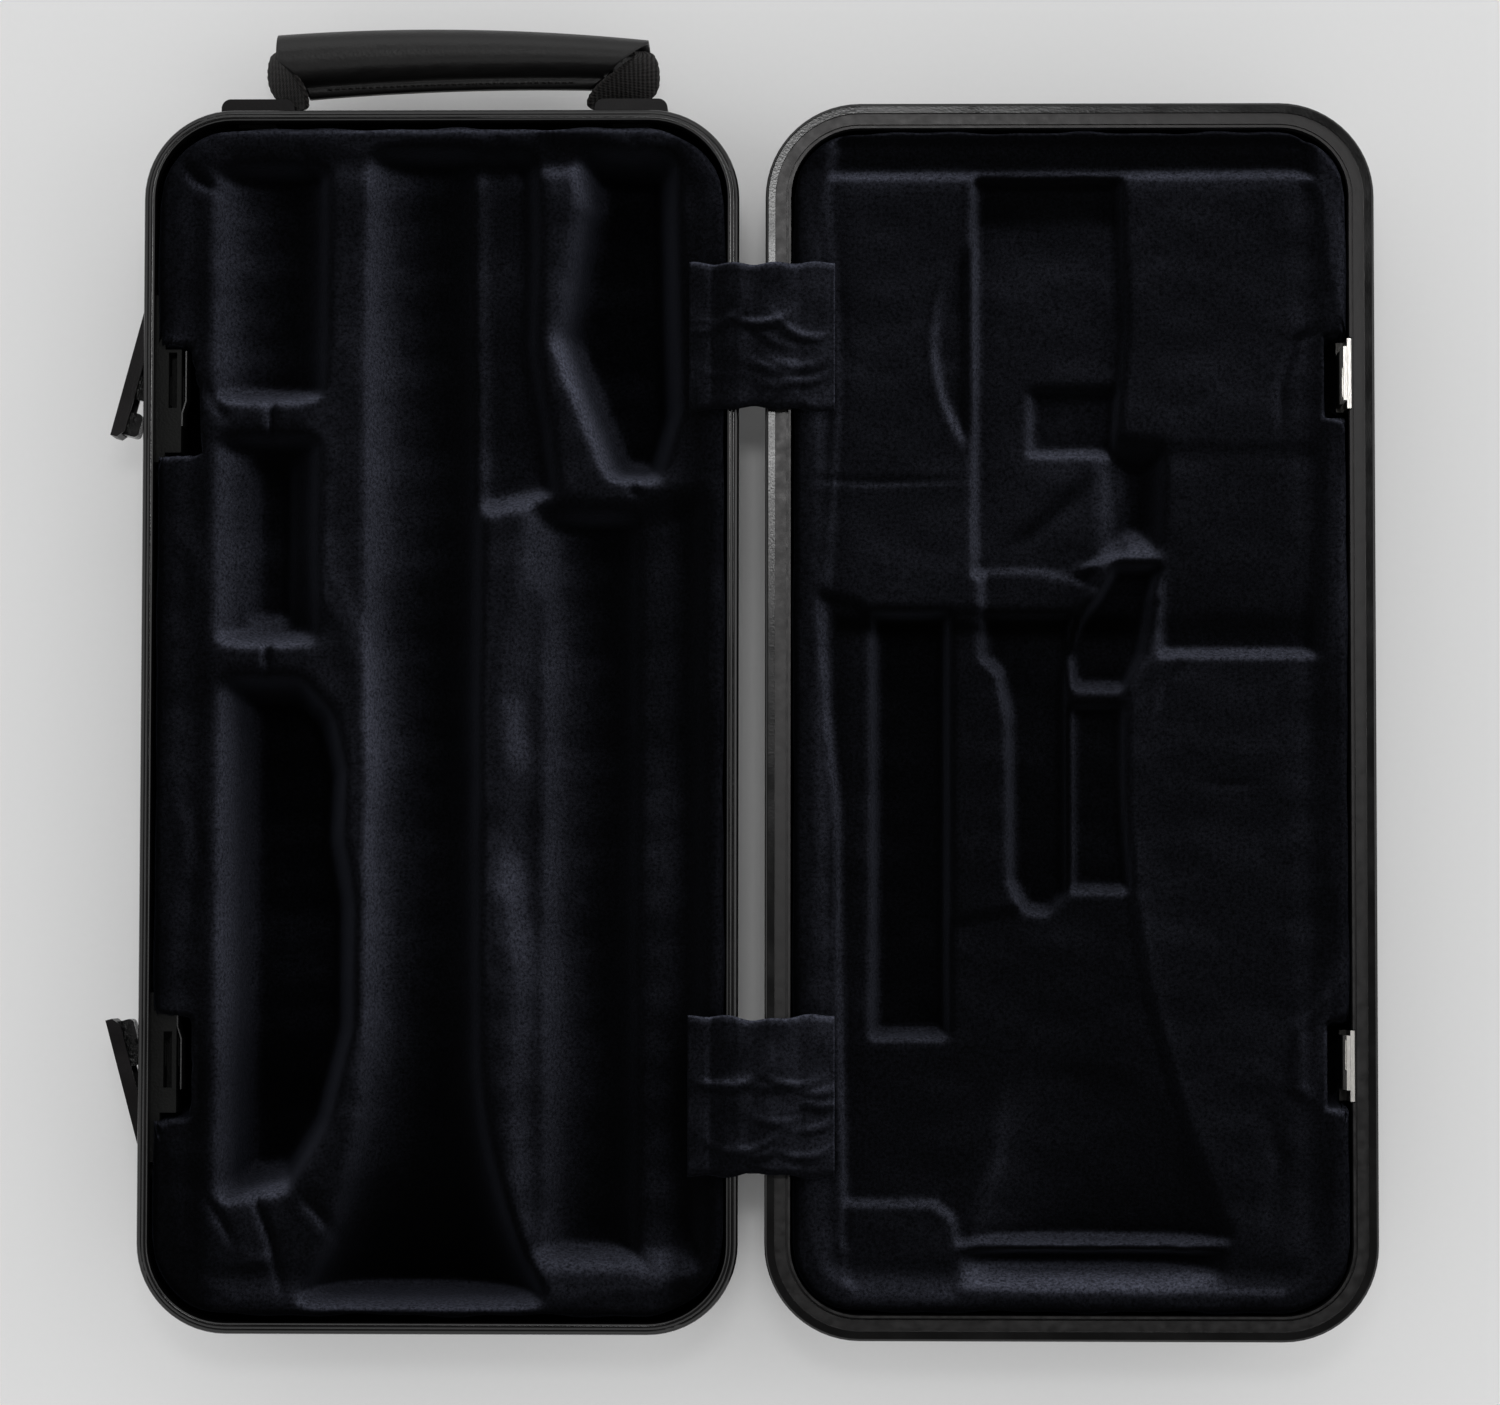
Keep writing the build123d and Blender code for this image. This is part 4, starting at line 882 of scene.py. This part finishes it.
coverPiece("hingeCoverUpper", 121.3, 23.6, 5, "hinge_cover_upper")
coverPiece("hingeCoverLower", -119.3, 25.2, 12, "hinge_cover_lower")
print("case: hinge covers laid over the rims")


# Handle: a leather tube stitched along a flange, carried by two webbing straps

grip = {
    "z": 28.0, "halfHeight": 11.0,
    "topEdge": [(-54.7, 222.6), (9.4, 224.2), (65.1, 220.6)],
    "lowEdge": [(-54.7, 201.9), (9.4, 204.7), (65.1, 204.9)],
    "flange": 3.4,
    "bodyTurn": 157,           # degrees of the rounded body, each way from the top edge
    "bodyForm": (0.9, 0.85),   # powers that square the body a little, across and upwards
    "flangeForm": [(1.0, 2.6), (0.8, 2.9), (0.2, 2.7), (0.0, 1.6), (0.0, -1.6), (0.2, -2.7),
        (0.8, -2.9), (1.0, -2.6)],
    # share across the grip, X
    "leftEnd": [(0.0, -54.7), (0.46, -54.7), (0.76, -47.5), (1.0, -44.8)],
    "rightEnd": [(0.0, 65.1), (0.12, 65.3), (1.0, 46.6)],
    "rings": 90, "around": 64,
    "lip": ((0.97, -0.1), (0.90, 0.1), (0.84, 2.5), (0.1, 3.5)),    # end rings: size, sinking
    "lipSlope": 3,
}
seam = {
    "ends": (-38, 40), "stitches": 36, "radius": 0.26, "sides": 6,
    "height": 2.75,            # over the middle of the grip
    "step": 0.4,               # along the seam
    "rises": (0.0, 0.35, 0.5, 0.35, 0.0),
}


def alongGrip(edge, x):
    # a parabola through the edge's three points
    xs, ys = zip(*grip[edge])
    return np.polyval(np.polyfit(xs, ys, 2), x)


def gripSection(x):
    # closed section at this X: points (y, z); a rounded body, a crease, then the flat flange
    top, low = alongGrip("topEdge", x), alongGrip("lowEdge", x)
    half = (top - low - grip["flange"]) / 2
    centre = top - half
    powerAcross, powerUp = grip["bodyForm"]
    section = []
    count = grip["around"] - len(grip["flangeForm"])
    for turn in np.linspace(-grip["bodyTurn"], grip["bodyTurn"], count):
        c, s = cos(radians(turn)), sin(radians(turn))
        section.append((centre + np.sign(c) * abs(c) ** powerAcross * half,
            np.sign(s) * abs(s) ** powerUp * grip["halfHeight"]))
    for across, height in grip["flangeForm"]:
        section.append((low + across * grip["flange"], height))
    return section, top, low


def makeGrip():
    rings, around = grip["rings"], grip["around"]
    start, end = grip["topEdge"][0][0], grip["topEdge"][-1][0]
    points, faces = [], []
    for i in range(rings):
        share = i / (rings - 1)
        section, top, low = gripSection(start + (end - start) * share)
        for y, z in section:
            across = (top - y) / (top - low)
            left = np.interp(across, *zip(*grip["leftEnd"]))
            right = np.interp(across, *zip(*grip["rightEnd"]))
            points.append((left + (right - left) * share, y, grip["z"] + z))
        if i:
            faces += ringFaces((i - 1) * around, i * around, around)
    for base, way in ((0, 1), ((rings - 1) * around, -1)):
        outer = np.array(points[base:base + around])
        centre = outer.mean(axis=0)
        above = base
        for size, sink in grip["lip"]:
            below = len(points)
            ring = centre + (outer - centre) * size
            ring[:, 0] = outer[:, 0] + way * (1 - size) * grip["lipSlope"] + way * sink
            points += ring.tolist()
            side = ringFaces(above, below, around)
            faces += side if way < 0 else [face[::-1] for face in side]
            above = below
        cap = tuple(range(above, above + around))
        faces.append(cap if way < 0 else cap[::-1])
    piece = meshPiece("gripCover", points, faces, finish["grip"])
    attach(piece, "handle")
    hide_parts("handle_grip")


def threadRing(x, y, z):
    ring = []
    for k in range(seam["sides"]):
        turn = 2 * pi * k / seam["sides"]
        ring.append((x, y + seam["radius"] * cos(turn), z + seam["radius"] * sin(turn)))
    return ring


def makeStitches():
    # a thread that dips in and out along the seam
    points, faces = [], []
    first, last = seam["ends"]
    sides = seam["sides"]
    halfStitch = seam["step"] * (len(seam["rises"]) - 1) / 2
    for i in range(seam["stitches"]):
        middleX = first + (last - first) * i / (seam["stitches"] - 1)
        y = alongGrip("lowEdge", middleX) + grip["flange"] * 0.5
        start = len(points)
        for j, rise in enumerate(seam["rises"]):
            x = middleX - halfStitch + seam["step"] * j
            points += threadRing(x, y, grip["z"] + seam["height"] + rise)
            if j:
                faces += ringFaces(len(points) - 2 * sides, len(points) - sides, sides)
        faces.append(tuple(range(start, start + sides))[::-1])
        faces.append(tuple(range(len(points) - sides, len(points))))
    piece = meshPiece("gripStitches", points, faces, finish["webbing"])
    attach(piece, "handle")


strap = {
    "halfWidth": 9.0, "thickness": 1.8, "samples": 64, "across": 13,
    "ribs": (0.12, 1.9),       # height and spacing
    "thinEdge": (0.35, 8),     # share of the thickness lost at the edges, and how suddenly
    # plan of the upper and the lower edge of each band, from the foot into the grip
    "left": (
        [(-58, 196.5), (-45.2, 196.5), (-44.2, 199), (-45.9, 205), (-50.3, 210.5), (-54.6, 215),
            (-48, 215.8)],
        [(-58, 196.5), (-47.0, 196.5), (-50.2, 200.4), (-57.4, 203.8), (-59.8, 211),
            (-58.2, 219.6), (-53, 217.4), (-48, 216.4)],
    ),
    "right": (
        [(58, 196.5), (46.6, 196.5), (45.4, 199.5), (49, 205), (57, 211), (62.4, 215.4),
            (55, 215.4)],
        [(58, 196.5), (47.6, 196.5), (47.6, 200.2), (59.2, 200.9), (67.8, 204.6),
            (68.0, 214.5), (65, 219.6), (60, 217), (55, 216)],
    ),
}


def smoothPath(control, samples):
    # cuts the corners of the control line until it bends as webbing does
    points = np.array(control, float)
    for _ in range(4):
        left = 0.75 * points[:-1] + 0.25 * points[1:]
        right = 0.25 * points[:-1] + 0.75 * points[1:]
        mixed = np.empty((2 * len(left), 2))
        mixed[0::2], mixed[1::2] = left, right
        points = np.vstack([points[:1], mixed, points[-1:]])
    lengths = np.concatenate([[0], np.cumsum(np.hypot(*np.diff(points, axis=0).T))])
    at = np.linspace(0, lengths[-1], samples)
    path = np.stack([np.interp(at, lengths, points[:, axis]) for axis in (0, 1)], axis=1)
    return path, lengths[-1]


def makeStrap(side, node):
    upper, length = smoothPath(strap[side][0], strap["samples"])
    lower, lowerLength = smoothPath(strap[side][1], strap["samples"])
    high = np.column_stack([upper, np.full(len(upper), grip["z"] + strap["halfWidth"])])
    low = np.column_stack([lower, np.full(len(lower), grip["z"] - strap["halfWidth"])])
    across, half = strap["across"], strap["thickness"] / 2
    tangent = np.gradient((high + low) / 2, axis=0)
    normal = np.cross(tangent, high - low)
    normal /= np.linalg.norm(normal, axis=1)[:, None]
    ribHeight, ribSpacing = strap["ribs"]
    lost, suddenness = strap["thinEdge"]
    points, faces = [], []
    for i in range(len(high)):
        rib = ribHeight * sin(2 * pi * i * length / strap["samples"] / ribSpacing)
        for way in (1, -1):
            for j in range(across):
                w = 2 * j / (across - 1) - 1
                middle = (high[i] + low[i]) / 2 + way * w * (low[i] - high[i]) / 2
                thick = half * (1 - lost * abs(w) ** suddenness) + rib
                points.append(middle + way * normal[i] * thick)
        if i:
            faces += ringFaces((i - 1) * 2 * across, i * 2 * across, 2 * across)
    last = (len(high) - 1) * 2 * across
    faces += [tuple(range(2 * across))[::-1], tuple(range(last, last + 2 * across))]
    piece = meshPiece("strap" + side.title(), points, faces, finish["webbing"])
    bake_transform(piece)
    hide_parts(node)


makeGrip()
makeStitches()
makeStrap("left", "handle_strap_left")
makeStrap("right", "handle_strap_right")
print("case: handle covered and strapped")


# Floor, light and camera

room = {
    "floor": (0.74, 0.74, 0.74),
    "floorGlow": (0.67, 0.67, 0.67), "glowShare": 0.55,
    "shade": 0.055,            # how near the case the table darkens
    # height in the sky, its light
    "sky": [(0.0, 0.65), (0.22, 1.0), (0.5, 1.7), (0.72, 0.95), (0.9, 0.2), (1.0, 0.13)],
    "lamps": {
        # place, size in metres, watts
        "overhead": ((0.12, 0.36, 1.9), (0.32, 0.2), 4.2),
        "back": ((0.10, 1.30, 1.35), (1.2, 0.35), 2.6),
        "right": ((1.35, 0.15, 1.2), (0.5, 1.2), 2.4),
    },
}


def makeFloor():
    side = np.linspace(-3.0, 3.0, 24)
    points = [(1000 * (x + 0.1), 1000 * y, -0.05) for y in side for x in side]
    material, tree, shader, place = freshMaterial("paleTable")
    cloud = addNoise(tree, place, 3.0, 2, 0.5)
    speck = addNoise(tree, place, 420, 3, 0.6)
    tone = addSum(tree, cloud, 0.5, speck, 0.5)
    darker, paler = ([c * share for c in room["floor"]] for share in (0.98, 1.02))
    colour = addRamp(tree, tone, [(0.3, darker), (0.7, paler)])
    tree.links.new(colour, shader.inputs["Base Color"])
    shader.inputs["Roughness"].default_value = 0.8
    shader.inputs["Specular IOR Level"].default_value = 0.1
    # seen directly or in a reflection the table is paler, and it keeps the case's shadow
    glow = tree.nodes.new("ShaderNodeEmission")
    glow.inputs["Color"].default_value = (*room["floorGlow"], 1)
    rays = tree.nodes.new("ShaderNodeLightPath")
    seen = addMath(tree, "MAXIMUM", rays.outputs["Is Camera Ray"], rays.outputs["Is Glossy Ray"])
    seen = addMath(tree, "MAXIMUM", seen, rays.outputs["Is Transmission Ray"])
    near = tree.nodes.new("ShaderNodeAmbientOcclusion")
    near.inputs["Distance"].default_value = room["shade"]
    seen = addMath(tree, "MULTIPLY", seen, near.outputs["AO"])
    mix = tree.nodes.new("ShaderNodeMixShader")
    tree.links.new(addMath(tree, "MULTIPLY", seen, room["glowShare"]), mix.inputs["Fac"])
    tree.links.new(shader.outputs["BSDF"], mix.inputs[1])
    tree.links.new(glow.outputs["Emission"], mix.inputs[2])
    tree.links.new(mix.outputs["Shader"], tree.nodes["Material Output"].inputs["Surface"])
    piece = meshPiece("paleFloor", points, gridFaces(24, 24), material, smooth=False)


def softLight(name, at, size, power, aim=(0.1, 0.0, 0.03)):
    lamp = bpy.data.lights.new(name, "AREA")
    lamp.shape = "RECTANGLE"
    lamp.size, lamp.size_y = size
    lamp.energy = power
    holder = bpy.data.objects.new(name, lamp)
    holder.location = at
    holder.rotation_euler = (Vector(aim) - Vector(at)).to_track_quat("-Z", "Y").to_euler()
    bpy.context.scene.collection.objects.link(holder)


def makeSky():
    # a room that is bright all round and dark straight above
    world = bpy.data.worlds.new("paleRoom")
    bpy.context.scene.world = world
    world.use_nodes = True
    tree = world.node_tree
    place = tree.nodes.new("ShaderNodeTexCoord").outputs["Generated"]
    strength = 2.0
    stops = [(height, tone / strength) for height, tone in room["sky"]]
    glow = addRamp(tree, heightOf(tree, place), stops)
    tree.links.new(glow, tree.nodes["Background"].inputs["Color"])
    tree.nodes["Background"].inputs["Strength"].default_value = strength


view = {"at": (0.1283, -0.0716, 1.552), "turn": (2.924, 1.127, 0.086), "lens": 113.87}


def makeCamera():
    lens = bpy.data.cameras.new("overheadCamera")
    lens.lens = view["lens"]
    lens.sensor_width = 36
    lens.sensor_fit = "HORIZONTAL"
    camera = bpy.data.objects.new("overheadCamera", lens)
    camera.location = view["at"]
    camera.rotation_euler = [radians(angle) for angle in view["turn"]]
    bpy.context.scene.collection.objects.link(camera)
    bpy.context.scene.camera = camera


makeFloor()
makeSky()
for lampName, (at, size, power) in room["lamps"].items():
    softLight(lampName, at, size, power)
makeCamera()
bpy.context.scene.view_settings.view_transform = "Standard"
print("case: floor, lights and camera set")
